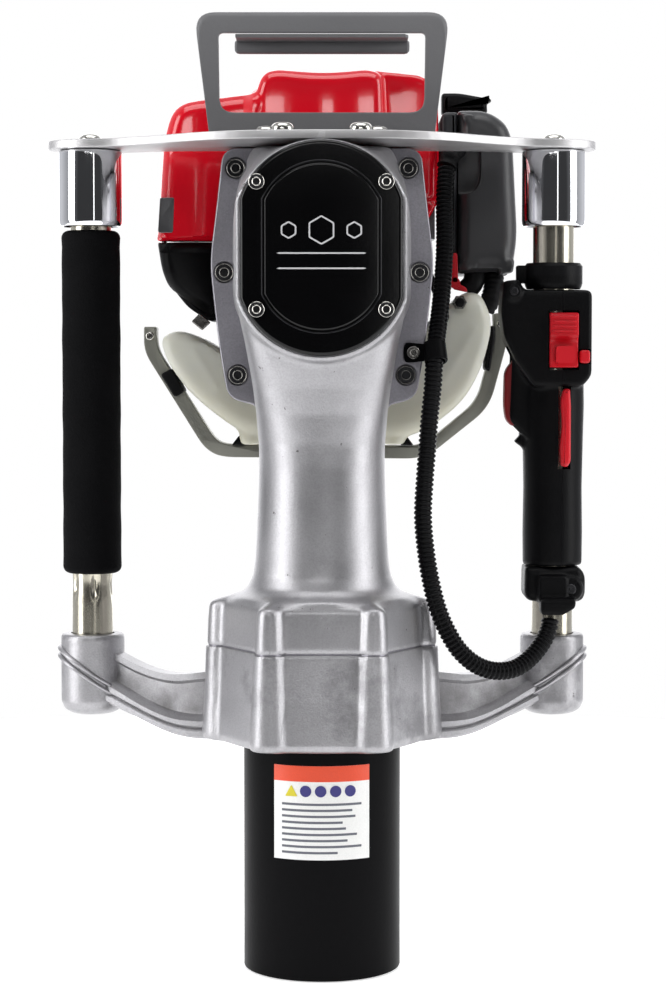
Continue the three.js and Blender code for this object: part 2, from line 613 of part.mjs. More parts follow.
function fuelSystem() {
  add('carburettor', join(
    cut(block(46, 72, 98, 126, 446, 480), alongX(disc(8, 60, 80, 16), 112, 462)),
    block(37.5, 47, 104, 120, 454, 470),
  ), 'cast');
  const arm = join(
    alongY(disc(4, 91, 97.6, SMALL), 58, 470),
    block(56.4, 59.6, 91, 93.5, 470, 486),
  );
  add('throttle_arm', arm, 'steel');
  const choke = join(
    alongY(disc(3.5, 79, 87.6, 12), CHOKE_X, CHOKE_Z),
    block(CHOKE_X - 1.8, CHOKE_X + 1.8, 79, 82, CHOKE_Z, CHOKE_Z + 19),
  );
  add('choke_lever', choke, 'redPlastic');
  const skin = [
    [-93, 388.5, 6], [-104.5, 383, 6], [-98, 366, 8], [-84, 347, 10], [-60, 327.5, 10], [-44, 319, 8],
    [0, 318, 20], [62, 319, 14], [90, 341, 12], [102.5, 365, 10], [108.8, 392, 8], [103, 409, 8],
    [92, 413.5, 6], [66, 392, 10], [50, 362, 12], [26, 352, 10], [-26, 352, 10], [-50, 362, 12],
    [-72, 381, 8],
  ];
  const hollow = [
    [-94, 383.5, 5], [-99.4, 381, 4], [-94, 367, 8], [-81, 349.5, 9], [-58.5, 331, 9], [-43, 322.5, 8],
    [0, 321.5, 20], [60, 322.5, 12], [87, 343, 12], [99, 366, 10], [105, 391, 7], [100.5, 405, 6],
    [93, 409, 5], [69.5, 391, 9], [52.5, 359, 10], [27, 348.6, 8], [-27, 348.6, 8], [-52.5, 359, 10],
    [-72, 376.5, 6],
  ];
  const filler = alongY(disc(8.4, 140, 155, SMALL), FUEL_CAP_X, FUEL_CAP_Z);
  add('fuel_tank', cut(front(skin, 84, 149.6), front(hollow, 87.5, 146), filler), 'tankPlastic');
  const cap = join(disc(8, 142, 153, SMALL), disc(13, 150, 164));
  add('fuel_cap', alongY(cap, FUEL_CAP_X, FUEL_CAP_Z), 'blackPlastic');
  add('primer_bulb', alongY(disc(4.4, 71, 80.4, SMALL), 88, 405), 'redPlastic');
  const strapOuter = [
    [-115, 390], [-115, 374, 6], [-76, 311, 8], [-64, 305.8, 8], [68, 305, 10], [107, 337, 10],
    [119.5, 382, 8], [118.2, 399],
  ];
  const strapInner = [
    [110.2, 398.5], [111, 383, 8], [100, 342, 10], [65.5, 313, 10], [-62, 313.8, 8], [-69.5, 317, 6],
    [-107, 376, 6], [-107, 390],
  ];
  const strap = front(strapOuter.concat(strapInner), 100, 122);
  const bracket = [block(-18, 18, 76, 80, 301, 351), block(-18, 18, 78, 122, 301, 306.5)];
  add('tank_guard', join(strap, ...bracket), 'blastedSteel');
}

hammerBarrel();
lowerCasting();
driveHousing();
hammer();
reduction();
topPlate();
leftHandle();
throttleGrip();
throttleCable();
engineCore();
fanShroud();
engineCovers();
fuelSystem();

export default driver;
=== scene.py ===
"""Petrol post driver: the finished surfaces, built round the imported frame."""

import json
import math

import bmesh
import bpy
import numpy as np
from bpy.props import FloatProperty, FloatVectorProperty, IntProperty, PointerProperty
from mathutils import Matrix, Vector


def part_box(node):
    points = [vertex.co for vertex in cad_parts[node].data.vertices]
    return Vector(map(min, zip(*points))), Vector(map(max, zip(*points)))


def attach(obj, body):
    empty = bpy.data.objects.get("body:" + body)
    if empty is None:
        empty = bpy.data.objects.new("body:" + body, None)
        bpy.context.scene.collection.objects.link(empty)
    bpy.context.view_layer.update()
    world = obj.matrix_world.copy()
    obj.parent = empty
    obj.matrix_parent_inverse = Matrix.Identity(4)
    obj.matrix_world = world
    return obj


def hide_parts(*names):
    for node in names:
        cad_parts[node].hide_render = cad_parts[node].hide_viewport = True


bl_info = {
    "name": "Petrol Post Driver",
    "version": (1, 0, 0),
    "blender": (4, 5, 0),
    "location": "3D View > Sidebar > Post Driver",
    "description": "Builds a petrol post driver piece by piece round its frame",
    "category": "Add Mesh",
}

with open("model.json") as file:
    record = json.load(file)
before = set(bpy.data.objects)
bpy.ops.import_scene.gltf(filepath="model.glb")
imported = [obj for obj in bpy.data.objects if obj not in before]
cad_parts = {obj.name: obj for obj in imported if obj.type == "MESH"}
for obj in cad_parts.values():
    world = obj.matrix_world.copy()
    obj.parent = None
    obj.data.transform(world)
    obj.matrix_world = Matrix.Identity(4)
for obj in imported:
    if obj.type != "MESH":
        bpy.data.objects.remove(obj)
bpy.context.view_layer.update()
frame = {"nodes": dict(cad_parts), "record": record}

MM = 0.001
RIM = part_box("barrel")[0].z
SIDES = (-1, 1)
HANDLE_X = 143.5
HANDLE_Y = 45.0
ENGINE_AXIS = (0.0, 394.0)
PLUG_AXIS = (0.0, 119.0)
PLATE_LOW = 498.0
PLATE_TOP = 503.0
GRIP_SEAM = 148.0
PLANES = {"z": "top", "y": "front", "x": "side"}


def linear(red, green, blue):
    """An sRGB colour from 0 to 255 as scene-linear red, green and blue."""
    share = np.array([red, green, blue]) / 255.0
    return tuple(np.where(share < 0.04045, share / 12.92, ((share + 0.055) / 1.055) ** 2.4).tolist())


def colour_property(label, text, red, green, blue):
    """A colour that the user can change, given from 0 to 255."""
    return FloatVectorProperty(
        name=label, description=text, subtype="COLOR", size=3, min=0.0, max=1.0,
        default=linear(red, green, blue),
    )


def length_property(label, text, millimetres):
    """A length that the user can change, given in millimetres."""
    return FloatProperty(name=label, description=text, default=millimetres * MM, unit="LENGTH")


class DriverSizes(bpy.types.PropertyGroup):
    """Sizes that change without moving any joint"""
    barrel_radius: length_property("Barrel radius", "Outside of the post barrel", 47.5)
    barrel_wall: length_property("Barrel wall", "Thickness of the barrel's wall", 6.0)
    tube_radius: length_property("Tube radius", "Outside of the handle tubes", 12.7)
    foam_radius: length_property("Foam radius", "Outside of the left foam grip", 18.2)
    cap_radius: length_property("Cap radius", "Outside of the chrome caps", 19.7)
    conduit_radius: length_property("Conduit radius", "Over the ribs of the throttle conduit", 5.6)
    conduit_pitch: length_property("Conduit pitch", "From one rib of the conduit to the next", 2.9)
    casting_voxel: length_property("Casting voxel", "Grain of the remeshed castings", 1.5)
    moulding_voxel: length_property("Moulding voxel", "Grain of the remeshed mouldings", 1.3)
    round_sides: IntProperty(name="Round sides", description="Sides of a round piece", default=72)


class DriverColours(bpy.types.PropertyGroup):
    """Base colours of the finishes"""
    aluminium: colour_property("Aluminium", "Bead-blasted castings", 184, 183, 186)
    plate: colour_property("Plate", "Top plate", 196, 195, 196)
    guard: colour_property("Guard", "Blasted steel of the tank guard", 132, 132, 124)
    red: colour_property("Red", "Gloss red mouldings", 224, 12, 34)
    trigger: colour_property("Trigger", "Dull red trigger", 120, 16, 22)
    charcoal: colour_property("Charcoal", "Satin charcoal mouldings", 38, 39, 42)
    black: colour_property("Black", "Black nylon and paint", 11, 11, 13)
    tank: colour_property("Tank", "Milky fuel tank", 218, 218, 206)
    carry: colour_property("Carry handle", "Powder-coated carry handle", 108, 108, 110)
    label: colour_property("Label", "Blank label", 236, 236, 234)
    band: colour_property("Label band", "Header band of the blank label", 226, 74, 38)


class DriverStage(bpy.types.PropertyGroup):
    """Camera, lights and floor"""
    lens: FloatProperty(name="Lens", description="Focal length on a 36 mm sensor", default=90.0)
    distance: length_property("Distance", "Camera to barrel axis", 1512.0)
    height: length_property("Height", "Camera above the rim", 366.7)
    side: length_property("Side", "Camera to the right", 6.7)
    pitch: FloatProperty(
        name="Pitch", description="Camera looks down by", default=math.radians(3.137), unit="ROTATION",
    )
    key_power: FloatProperty(name="Key power", description="Power of each large softbox", default=15.0)
    room_light: FloatProperty(name="Room light", description="Brightness of the room ahead", default=0.045)
    wall_light: FloatProperty(name="Wall light", description="Brightness of the wall behind", default=0.7)
    floor_radius: length_property("Floor radius", "Radius of the floor", 1100.0)


class DriverSettings(bpy.types.PropertyGroup):
    """Everything the sidebar shows"""
    sizes: PointerProperty(type=DriverSizes)
    colours: PointerProperty(type=DriverColours)
    stage: PointerProperty(type=DriverStage)


# Shader sums -----------------------------------------------------------------

class Value:
    """A shader socket that takes part in ordinary sums; each sum adds one Math node."""

    def __init__(self, graph, socket):
        self.graph = graph
        self.socket = socket

    def _math(self, operation, *others):
        made = self.graph.node("ShaderNodeMath", {"operation": operation}, [self, *others])
        return Value(self.graph, made.outputs[0])

    def _flipped(self, operation, other):
        made = self.graph.node("ShaderNodeMath", {"operation": operation}, [other, self])
        return Value(self.graph, made.outputs[0])

    def __add__(self, other):
        return self._math("ADD", other)

    __radd__ = __add__

    def __sub__(self, other):
        return self._math("SUBTRACT", other)

    def __rsub__(self, other):
        return self._flipped("SUBTRACT", other)

    def __mul__(self, other):
        return self._math("MULTIPLY", other)

    __rmul__ = __mul__

    def __truediv__(self, other):
        return self._math("DIVIDE", other)

    def at_least(self, other):
        return self._math("MAXIMUM", other)

    def at_most(self, other):
        return self._math("MINIMUM", other)

    def over(self, edge, width):
        """0 below edge, 1 above edge plus width, straight between."""
        return ((self - edge) / width).at_least(0.0).at_most(1.0)


class Graph:
    """One material's node tree, with its Principled shader."""

    def __init__(self, name):
        self.material = bpy.data.materials.new(name)
        self.material.use_nodes = True
        self.tree = self.material.node_tree
        self.shader = self.tree.nodes["Principled BSDF"]

    def feed(self, socket, value):
        """Gives a socket a link, a colour or a plain value."""
        if isinstance(value, Value):
            value = value.socket
        if isinstance(value, bpy.types.NodeSocket):
            self.tree.links.new(value, socket)
        elif isinstance(value, (tuple, list)) and len(value) == 3 and socket.type == "RGBA":
            socket.default_value = (*value, 1.0)
        else:
            socket.default_value = value

    def node(self, kind, settings=None, values=()):
        """Adds one node: its settings first, then its sockets by place or by name."""
        made = self.tree.nodes.new(kind)
        for key, setting in (settings or {}).items():
            setattr(made, key, setting)
        pairs = values.items() if isinstance(values, dict) else enumerate(values)
        for key, value in pairs:
            self.feed(made.inputs[key], value)
        return made

    def place(self):
        """Where the surface is, in metres from the piece's origin."""
        return self.node("ShaderNodeTexCoord").outputs["Object"]

    def noise(self, scale, detail=2.0, rough=0.5, stretch=None):
        """Noise from 0 to 1, stretched along an axis where its scale is small."""
        where = self.place()
        if stretch:
            where = self.node("ShaderNodeMapping", None, {"Vector": where, "Scale": stretch}).outputs[0]
        values = {"Vector": where, "Scale": scale, "Detail": detail, "Roughness": rough}
        return Value(self, self.node("ShaderNodeTexNoise", None, values).outputs[0])

    def specks(self, scale):
        """Distance to the nearest of many scattered points."""
        values = {"Vector": self.place(), "Scale": scale}
        return Value(self, self.node("ShaderNodeTexVoronoi", None, values).outputs[0])

    def creases(self):
        """About 0.5 on flat skin, lower in creases and higher on edges."""
        return Value(self, self.node("ShaderNodeNewGeometry").outputs["Pointiness"])

    def height(self):
        """Height of the surface in metres."""
        parts = self.node("ShaderNodeSeparateXYZ", None, [self.place()])
        return Value(self, parts.outputs["Z"])

    def blend(self, share, first, second):
        """The first colour where share is 0, the second where it is 1."""
        made = self.node("ShaderNodeMix", {"data_type": "RGBA"}, {0: share, 6: first, 7: second})
        return made.outputs[2]

    def bump(self, height, distance, strength=1.0, under=None):
        """A bumped normal, over another one if given."""
        values = {"Height": height, "Distance": distance, "Strength": strength}
        if under is not None:
            values["Normal"] = under
        return self.node("ShaderNodeBump", None, values).outputs[0]

    def set(self, **sockets):
        """Feeds the shader's sockets by name and returns the material."""
        for key, value in sockets.items():
            self.feed(self.shader.inputs[key.replace("_", " ")], value)
        return self.material

    def fix(self, **sockets):
        """Sets sockets of the shader that stay the same all over the piece."""
        for key, value in sockets.items():
            self.shader.inputs[key.replace("_", " ")].default_value = value


def darker(colour, share):
    """A share of a colour; a share over 1 is paler."""
    return tuple(part * share for part in colour)


def cast_metal(name, colour, grain=1.0, stained=0.16):
    """Bead-blasted casting: fine grain, soft mottling, stains, a few pits, and creases darkened partly by
    dirt and partly by painted shade.
    """
    g = Graph(name)
    mottle = g.noise(18.0, 4.0)
    fine = g.noise(900.0, 3.0, 0.6)
    pits = g.noise(150.0, 4.0, 0.7).over(0.68, 0.03)
    # Pointiness darkens the creases: partly dirt, partly painted shade where ambient shade falls.
    crease_shade_and_dirt = (0.492 - g.creases()) * 16.0
    soil_and_crease_shade = crease_shade_and_dirt.at_least(0.0).at_most(0.75) * g.noise(60.0, 3.0).over(0.35, 0.3)
    base = g.blend(mottle.over(0.35, 0.4), darker(colour, 0.80), colour)
    base = g.blend(fine.over(0.38, 0.3) * 0.34, base, darker(colour, 0.5))
    stain = g.noise(22.0, 8.0, 0.7).over(0.50, 0.14) * stained
    base = g.blend(stain, base, darker(colour, 0.42))
    # The crease mask and the pits blend towards dark brown: dirt, pits and painted crease shade.
    base = g.blend(soil_and_crease_shade.at_least(pits * 0.7), base, linear(58, 54, 50))
    rough = 0.33 + mottle * 0.14 + soil_and_crease_shade * 0.2
    low = g.bump(mottle, 0.0010, 0.25)
    return g.set(
        Base_Color=base, Metallic=0.9, Roughness=rough,
        Normal=g.bump(fine + pits * -1.2, 0.00022 * grain, 0.55, low),
    )


def machined_metal(name, colour, rough=0.25):
    """Turned or ground steel: light streaks across the piece."""
    g = Graph(name)
    streaks = g.noise(300.0, 3.0, 0.6, (1.0, 1.0, 14.0))
    base = g.blend(streaks.over(0.35, 0.4), darker(colour, 0.8), colour)
    return g.set(
        Base_Color=base, Metallic=1.0, Roughness=rough + streaks * 0.15,
        Normal=g.bump(streaks, 0.00008, 0.4),
    )


def tube_metal(name, colour):
    """Drawn stainless tube: fine lines along its length and a warm tint."""
    g = Graph(name)
    lines = g.noise(900.0, 3.0, 0.6, (1.0, 1.0, 0.03))
    stain = g.noise(35.0, 3.0)
    base = g.blend(stain.over(0.35, 0.4), darker(colour, 0.82), colour)
    return g.set(
        Base_Color=base, Metallic=1.0, Roughness=0.16 + lines * 0.12,
        Normal=g.bump(lines, 0.00006, 0.5),
    )


def plated_metal(name, colour, rough):
    """Bright plating with the faintest haze."""
    g = Graph(name)
    haze = g.noise(45.0, 3.0)
    base = g.blend(haze.over(0.4, 0.4), darker(colour, 0.93), colour)
    return g.set(Base_Color=base, Metallic=1.0, Roughness=rough + haze * 0.03)


def blasted_metal(name, colour):
    """Blasted sheet: sandy grain and rubbed edges."""
    g = Graph(name)
    grain = g.noise(1100.0, 2.0)
    cloud = g.noise(26.0, 4.0)
    rub = ((g.creases() - 0.51) * 18.0).at_least(0.0).at_most(0.8)
    base = g.blend(cloud.over(0.3, 0.5), darker(colour, 0.74), colour)
    base = g.blend(rub, base, darker(colour, 1.2))
    return g.set(
        Base_Color=base, Metallic=0.85, Roughness=0.36 + cloud * 0.16,
        Normal=g.bump(grain, 0.00016, 0.5),
    )


def satin_paint(name, colour, peel=0.5, rough=0.28, shine=0.3):
    """Satin paint: orange peel, and a little rub where edges stand out."""
    g = Graph(name)
    skin = g.noise(420.0, 2.0)
    cloud = g.noise(22.0, 3.0)
    rub = ((g.creases() - 0.53) * 8.0).at_least(0.0).at_most(0.03)
    base = g.blend(rub, g.blend(cloud * 0.35, colour, darker(colour, 0.6)), linear(96, 96, 98))
    g.fix(Specular_IOR_Level=shine)
    return g.set(
        Base_Color=base, Metallic=0.0, Roughness=rough + cloud * 0.14,
        Normal=g.bump(skin, 0.00012, peel),
    )


def gloss_paint(name, colour):
    """High-gloss moulding: a deep colour under a clear skin with faint waves."""
    g = Graph(name)
    wave = g.noise(9.0, 2.0)
    dust = g.noise(700.0, 2.0).over(0.72, 0.05)
    base = g.blend(wave.over(0.3, 0.5), darker(colour, 0.86), colour)
    base = g.blend(dust * 0.25, base, darker(colour, 0.5))
    return g.set(
        Base_Color=base, Roughness=0.16 + dust * 0.2, Coat_Weight=0.35,
        Normal=g.bump(wave, 0.0004, 0.25),
    )


def moulded_plastic(name, colour, rough=0.42, grain=0.5, shine=0.3):
    """Textured nylon: spark-eroded grain with paler rubbed edges."""
    g = Graph(name)
    texture = g.noise(1300.0, 2.0)
    cloud = g.noise(30.0, 3.0)
    rub = ((g.creases() - 0.54) * 7.0).at_least(0.0).at_most(0.03)
    base = g.blend(cloud * 0.4, colour, darker(colour, 0.65))
    base = g.blend(rub, base, linear(84, 84, 88))
    g.fix(Specular_IOR_Level=shine)
    return g.set(
        Base_Color=base, Roughness=rough + cloud * 0.12,
        Normal=g.bump(texture, 0.00018, grain),
    )


def foam_rubber(name, colour):
    """Closed-cell foam: soft open pores that swallow the light."""
    g = Graph(name)
    pores = g.specks(900.0)
    cloud = g.noise(40.0, 3.0)
    base = g.blend(cloud * 0.5, colour, darker(colour, 0.5))
    g.fix(Specular_IOR_Level=0.1)
    return g.set(
        Base_Color=base, Roughness=0.82 + cloud * 0.15,
        Normal=g.bump(pores, 0.0003, 0.6),
    )


def milky_plastic(name, colour):
    """Blow-moulded tank: light passes into it, and the fuel shows as a warm shade low down."""
    g = Graph(name)
    wave = g.noise(14.0, 3.0)
    fuel = 1.0 - g.height().over(0.196, 0.03)
    base = g.blend(wave.over(0.35, 0.4), darker(colour, 0.9), colour)
    base = g.blend(fuel * 0.35, base, linear(206, 200, 170))
    material = g.set(
        Base_Color=base, Roughness=0.30 + wave * 0.14, Normal=g.bump(wave, 0.0012, 0.35),
    )
    g.fix(Subsurface_Weight=0.25, Subsurface_Radius=(0.012, 0.011, 0.008), Subsurface_Scale=1.0)
    return material


def printed(name, colour):
    """Printed film: an even colour with a trace of fibre."""
    g = Graph(name)
    fibre = g.noise(1400.0, 2.0)
    base = g.blend(fibre.over(0.3, 0.5), darker(colour, 0.9), colour)
    return g.set(Base_Color=base, Roughness=0.32 + fibre * 0.1)


def stage_paper(name, shade):
    """Matt white paper that also glows a little, so that it stays pale under soft light."""
    g = Graph(name)
    cloud = g.noise(1.5, 2.0)
    pale = (shade, shade, shade)
    base = g.blend(cloud * 0.1, pale, darker(pale, 0.96))
    material = g.set(Base_Color=base, Roughness=0.9, Emission_Color=base)
    g.fix(Emission_Strength=0.62)
    return material


MATERIALS = {}


def build_materials(colours):
    """Every finish on the tool and its label, made once."""
    aluminium = tuple(colours.aluminium)
    black = tuple(colours.black)
    MATERIALS.update(
        cast_aluminium=cast_metal("cast_aluminium", aluminium),
        machined_steel=machined_metal("machined_steel", linear(196, 197, 196)),
        bronze_bush=machined_metal("bronze_bush", linear(196, 150, 84)),
        chrome=plated_metal("chrome", linear(236, 237, 240), 0.03),
        nickel=plated_metal("nickel", linear(206, 204, 198), 0.16),
        black_oxide=machined_metal("black_oxide", linear(60, 60, 62), 0.28),
        stainless_tube=tube_metal("stainless_tube", linear(205, 200, 184)),
        black_paint=satin_paint("black_paint", darker(black, 0.5), shine=0.025),
        grey_powder_coat=satin_paint("grey_powder_coat", tuple(colours.carry), 0.9, 0.36),
        plate_metal=blasted_metal("plate_metal", tuple(colours.plate)),
        blasted_steel=blasted_metal("blasted_steel", tuple(colours.guard)),
        red_plastic=gloss_paint("red_plastic", tuple(colours.red)),
        trigger_plastic=moulded_plastic("trigger_plastic", tuple(colours.trigger), 0.4),
        charcoal_plastic=moulded_plastic("charcoal_plastic", tuple(colours.charcoal), 0.34),
        black_plastic=moulded_plastic("black_plastic", darker(black, 0.7), 0.34, shine=0.1),
        conduit_plastic=moulded_plastic("conduit_plastic", darker(black, 0.6), 0.2, 0.15, 0.08),
        tank_plastic=milky_plastic("tank_plastic", tuple(colours.tank)),
        rubber=moulded_plastic("rubber", darker(black, 0.7), 0.5, 0.8, 0.12),
        foam=foam_rubber("foam", darker(black, 0.75)),
        label_paper=printed("label_paper", tuple(colours.label)),
        label_red=printed("label_red", tuple(colours.band)),
        label_blue=printed("label_blue", linear(52, 48, 120)),
        label_yellow=printed("label_yellow", linear(214, 200, 40)),
        label_ink=printed("label_ink", linear(96, 98, 108)),
        tag_plate=plated_metal("tag_plate", linear(120, 120, 122), 0.3),
        dark_nickel=plated_metal("dark_nickel", linear(132, 130, 126), 0.24),
        cast_stained=cast_metal("cast_stained", aluminium, 1.3, 0.7),
        # Painted shade: a darker copy of the cast aluminium, used on the housing flange and the casting
        # seam.
        cast_flange=cast_metal("cast_flange", linear(158, 156, 163)),
        filter_plastic=moulded_plastic("filter_plastic", linear(46, 46, 48), 0.34, 0.3, 0.5),
        cover_gloss=satin_paint("cover_gloss", darker(black, 0.4), 0.15, 0.08),
        label_white=satin_paint("label_white", linear(206, 206, 208), 0.1, 0.4),
        red_switch=moulded_plastic("red_switch", linear(200, 20, 34), 0.3, 0.2),
    )


def finish_frame():
    """Gives the frame's own pieces their finishes, by the record's material slots."""
    for entry in frame["record"]["subparts"]:
        node = frame["nodes"][entry["node"]]
        for holder in node.material_slots:
            holder.material = MATERIALS[entry["material_slot"]]


# Shapes: each is (corners in millimetres above the rim, faces) -----------------

def full_turn(count):
    """Angles at equal steps once round."""
    return np.linspace(0.0, 2 * math.pi, count, endpoint=False)


def quarter_turn(count):
    """Angles from nothing to a right angle, both ends kept."""
    return np.linspace(0.0, math.pi / 2, count)


def outline(corners, count=220, steps=8):
    """Corners [x, y, radius] joined by straight lines, each turned through a parabola that
    starts and ends radius away from it, then set out again at equal steps of length."""
    corners = [tuple(c) + (0.0,) * (3 - len(c)) for c in corners]
    points = np.array([c[:2] for c in corners], float)
    radii = np.array([c[2] for c in corners], float)
    share = np.linspace(0.0, 1.0, steps)[None, :, None]
    ends = []
    for step in (1, -1):
        way = np.roll(points, step, 0) - points
        reach = np.linalg.norm(way, axis=1, keepdims=True)
        ends.append(points + way / reach * np.minimum(radii[:, None], reach * 0.45))
    before, after = ends[0][:, None], ends[1][:, None]
    middle = points[:, None]
    curve = (1 - share) ** 2 * before + 2 * share * (1 - share) * middle + share ** 2 * after
    return even(curve.reshape(-1, 2), count)


def even(curve, count):
    """A closed curve set out again at count equal steps of its length."""
    loop = np.vstack([curve, curve[:1]])
    run = np.concatenate([[0.0], np.cumsum(np.linalg.norm(np.diff(loop, axis=0), axis=1))])
    places = np.linspace(0.0, run[-1], count, endpoint=False)
    return np.stack([np.interp(places, run, loop[:, k]) for k in range(2)], 1)


def both_sides(half):
    """A half outline from the top centre down the +X side, with its mirror image."""
    other = [(-c[0], *c[1:]) for c in reversed(half) if c[0] != 0]
    return list(half) + other


def inset(curve, distance):
    """Each point of a closed curve moved inwards, square to the curve."""
    ahead = np.roll(curve, -1, 0) - curve
    behind = curve - np.roll(curve, 1, 0)
    way = ahead / (np.linalg.norm(ahead, axis=1, keepdims=True) + 1e-9)
    way = way + behind / (np.linalg.norm(behind, axis=1, keepdims=True) + 1e-9)
    way /= np.linalg.norm(way, axis=1, keepdims=True) + 1e-9
    following = np.roll(curve, -1, 0)
    area = np.sum(curve[:, 0] * following[:, 1] - following[:, 0] * curve[:, 1])
    square = np.stack([-way[:, 1], way[:, 0]], 1) * np.sign(area)
    return curve + square * distance


def grid(points, close_rows=False, close_columns=True, caps=True):
    """Four-sided faces between the rows of an array of points, with flat ends."""
    rows, columns = points.shape[:2]
    i, j = np.meshgrid(
        np.arange(rows if close_rows else rows - 1),
        np.arange(columns if close_columns else columns - 1), indexing="ij",
    )
    right = (j + 1) % columns
    below = (i + 1) % rows
    corners = [i * columns + j, i * columns + right, below * columns + right, below * columns + j]
    faces = np.stack(corners, -1).reshape(-1, 4).tolist()
    if caps and close_columns and not close_rows:
        faces.append(list(range(columns))[::-1])
        faces.append(list(range((rows - 1) * columns, rows * columns)))
    return points.reshape(-1, 3), faces


def stand(flat, height, plane):
    """Points (u, v) at a height: plane front is seen along +Y, top along -Z, side along -X."""
    u, v = flat[..., 0], flat[..., 1]
    h = np.broadcast_to(height, u.shape)
    order = {"front": (u, h, v), "top": (u, v, h), "side": (h, u, v)}[plane]
    return np.stack(order, -1)


def slab(curve, low, high, low_edge=0.0, high_edge=0.0, plane="front", steps=5):
    """A closed curve carried from low to high, with quarter-round edges of the given radii."""
    turn = quarter_turn(steps + 1)
    first = [(low_edge * (1 - math.sin(a)), low + low_edge * (1 - math.cos(a))) for a in turn]
    last = [(high_edge * (1 - math.sin(a)), high - high_edge * (1 - math.cos(a))) for a in turn[::-1]]
    stations = (first if low_edge else [(0.0, low)]) + (last if high_edge else [(0.0, high)])
    return grid(np.stack([stand(inset(curve, d), h, plane) for d, h in stations]))


def frame_slab(outer, inner, low, high, edge=0.8, plane="front"):
    """A flat ring between two closed curves of equal count, with small chamfers."""
    rows = [
        (inset(outer, edge), low), (outer, low + edge),
        (outer, high - edge), (inset(outer, edge), high),
        (inset(inner, -edge), high), (inner, high - edge), (inner, low + edge), (inset(inner, -edge), low),
    ]
    return grid(np.stack([stand(flat, h, plane) for flat, h in rows]), close_rows=True)


def box(x0, x1, y0, y1, z0, z1, edge=0.0):
    """A block with rounded upright edges and rounded rims."""
    curve = outline([(x0, y0, edge), (x1, y0, edge), (x1, y1, edge), (x0, y1, edge)], 40)
    rim = min(edge, 1.5)
    return slab(curve, z0, z1, rim, rim, "top", 3)


def turned(profile, centre=(0.0, 0.0), way="z", sides=72, closed=False, wobble=None):
    """A profile of (radius, height) turned round an axis; wobble scales each radius by its
    angle and height."""
    rows = np.array(profile, float)
    angle = full_turn(sides)
    radius = rows[:, :1] * (wobble(angle[None, :], rows[:, 1:]) if wobble else 1.0)
    u = centre[0] + radius * np.cos(angle)
    v = centre[1] + radius * np.sin(angle)
    points = stand(np.stack([u, v], -1), rows[:, 1:], PLANES[way])
    return grid(points, close_rows=closed, caps=False)


def hexagon(across, angle):
    """Distance from the middle of a hexagon to its side at each angle."""
    return across / np.cos(np.mod(angle, math.pi / 3) - math.pi / 6)


def screw(centre, way, head, rise, socket, dome=0.0, washer=0.0, under=1.0):
    """A screw head with a hexagon socket: a rim turned round the axis, domed by a quarter
    ellipse if asked, whose inner rows follow the hexagon. way is the side the head faces."""
    angle = full_turn(36)
    base = 1.2 if washer else 0.0
    top = base + rise
    rows = [(0.0, -under)]
    if washer:
        rows += [(washer, -under), (washer, 0.8), (washer - 0.5, base), (head, base)]
    else:
        rows.append((head, -under))
    if dome:
        inner = socket * 1.4
        for turn in quarter_turn(7):
            rows.append((inner + (head - inner) * math.cos(turn), top - dome + dome * math.sin(turn)))
    else:
        rows += [(head, top - 0.5), (head - 0.5, top)]
    sides = hexagon(socket, angle)
    rows += [(sides * 1.08, top), (sides, top - 0.3), (sides, top - rise * 0.7), (0.0, top - rise * 0.75)]
    sign = -1.0 if way[0] == "-" else 1.0
    x, y, z = centre
    first, second, third = {"z": (x, y, z), "y": (x, z, y), "x": (y, z, x)}[way[1]]
    points = []
    for radius, level in rows:
        flat = np.stack([first + radius * np.cos(angle), second + radius * np.sin(angle)], -1)
        points.append(stand(flat, third + sign * level, PLANES[way[1]]))
    return grid(np.stack(points), caps=False)


def highlight_ring(centre, radius, thick, way="y"):
    """A thin round bead lying in a plane, put where the edge of a head or a counterbore shows a highlight: a
    painted highlight.
    """
    turn = full_turn(10)
    profile = [(radius + thick * math.cos(a), centre[1] + thick * math.sin(a)) for a in turn]
    return turned(profile, (centre[0], centre[2]), way, 36, closed=True)


def smooth_path(points, count):
    """A centripetal Catmull-Rom curve through the points, set out at equal steps of length."""
    points = np.array(points, float)
    padded = np.vstack([2 * points[0] - points[1], points, 2 * points[-1] - points[-2]])
    gap = np.linalg.norm(np.diff(padded, axis=0), axis=1)[:, None] ** 0.5
    p0, p1, p2, p3 = padded[:-3], padded[1:-2], padded[2:-1], padded[3:]
    d0, d1, d2 = gap[:-2], gap[1:-1], gap[2:]
    start = ((p1 - p0) / d0 - (p2 - p0) / (d0 + d1) + (p2 - p1) / d1) * d1
    end = ((p2 - p1) / d1 - (p3 - p1) / (d1 + d2) + (p3 - p2) / d2) * d1
    t = np.linspace(0.0, 1.0, 24, endpoint=False)[None, :, None]
    p1, p2, start, end = (a[:, None] for a in (p1, p2, start, end))
    curve = (2 * t ** 3 - 3 * t ** 2 + 1) * p1 + (t ** 3 - 2 * t ** 2 + t) * start
    curve = curve + (3 * t ** 2 - 2 * t ** 3) * p2 + (t ** 3 - t ** 2) * end
    curve = np.vstack([curve.reshape(-1, 3), points[-1:]])
    run = np.concatenate([[0.0], np.cumsum(np.linalg.norm(np.diff(curve, axis=0), axis=1))])
    places = np.linspace(0.0, run[-1], count)
    return np.stack([np.interp(places, run, curve[:, k]) for k in range(3)], 1), run[-1]


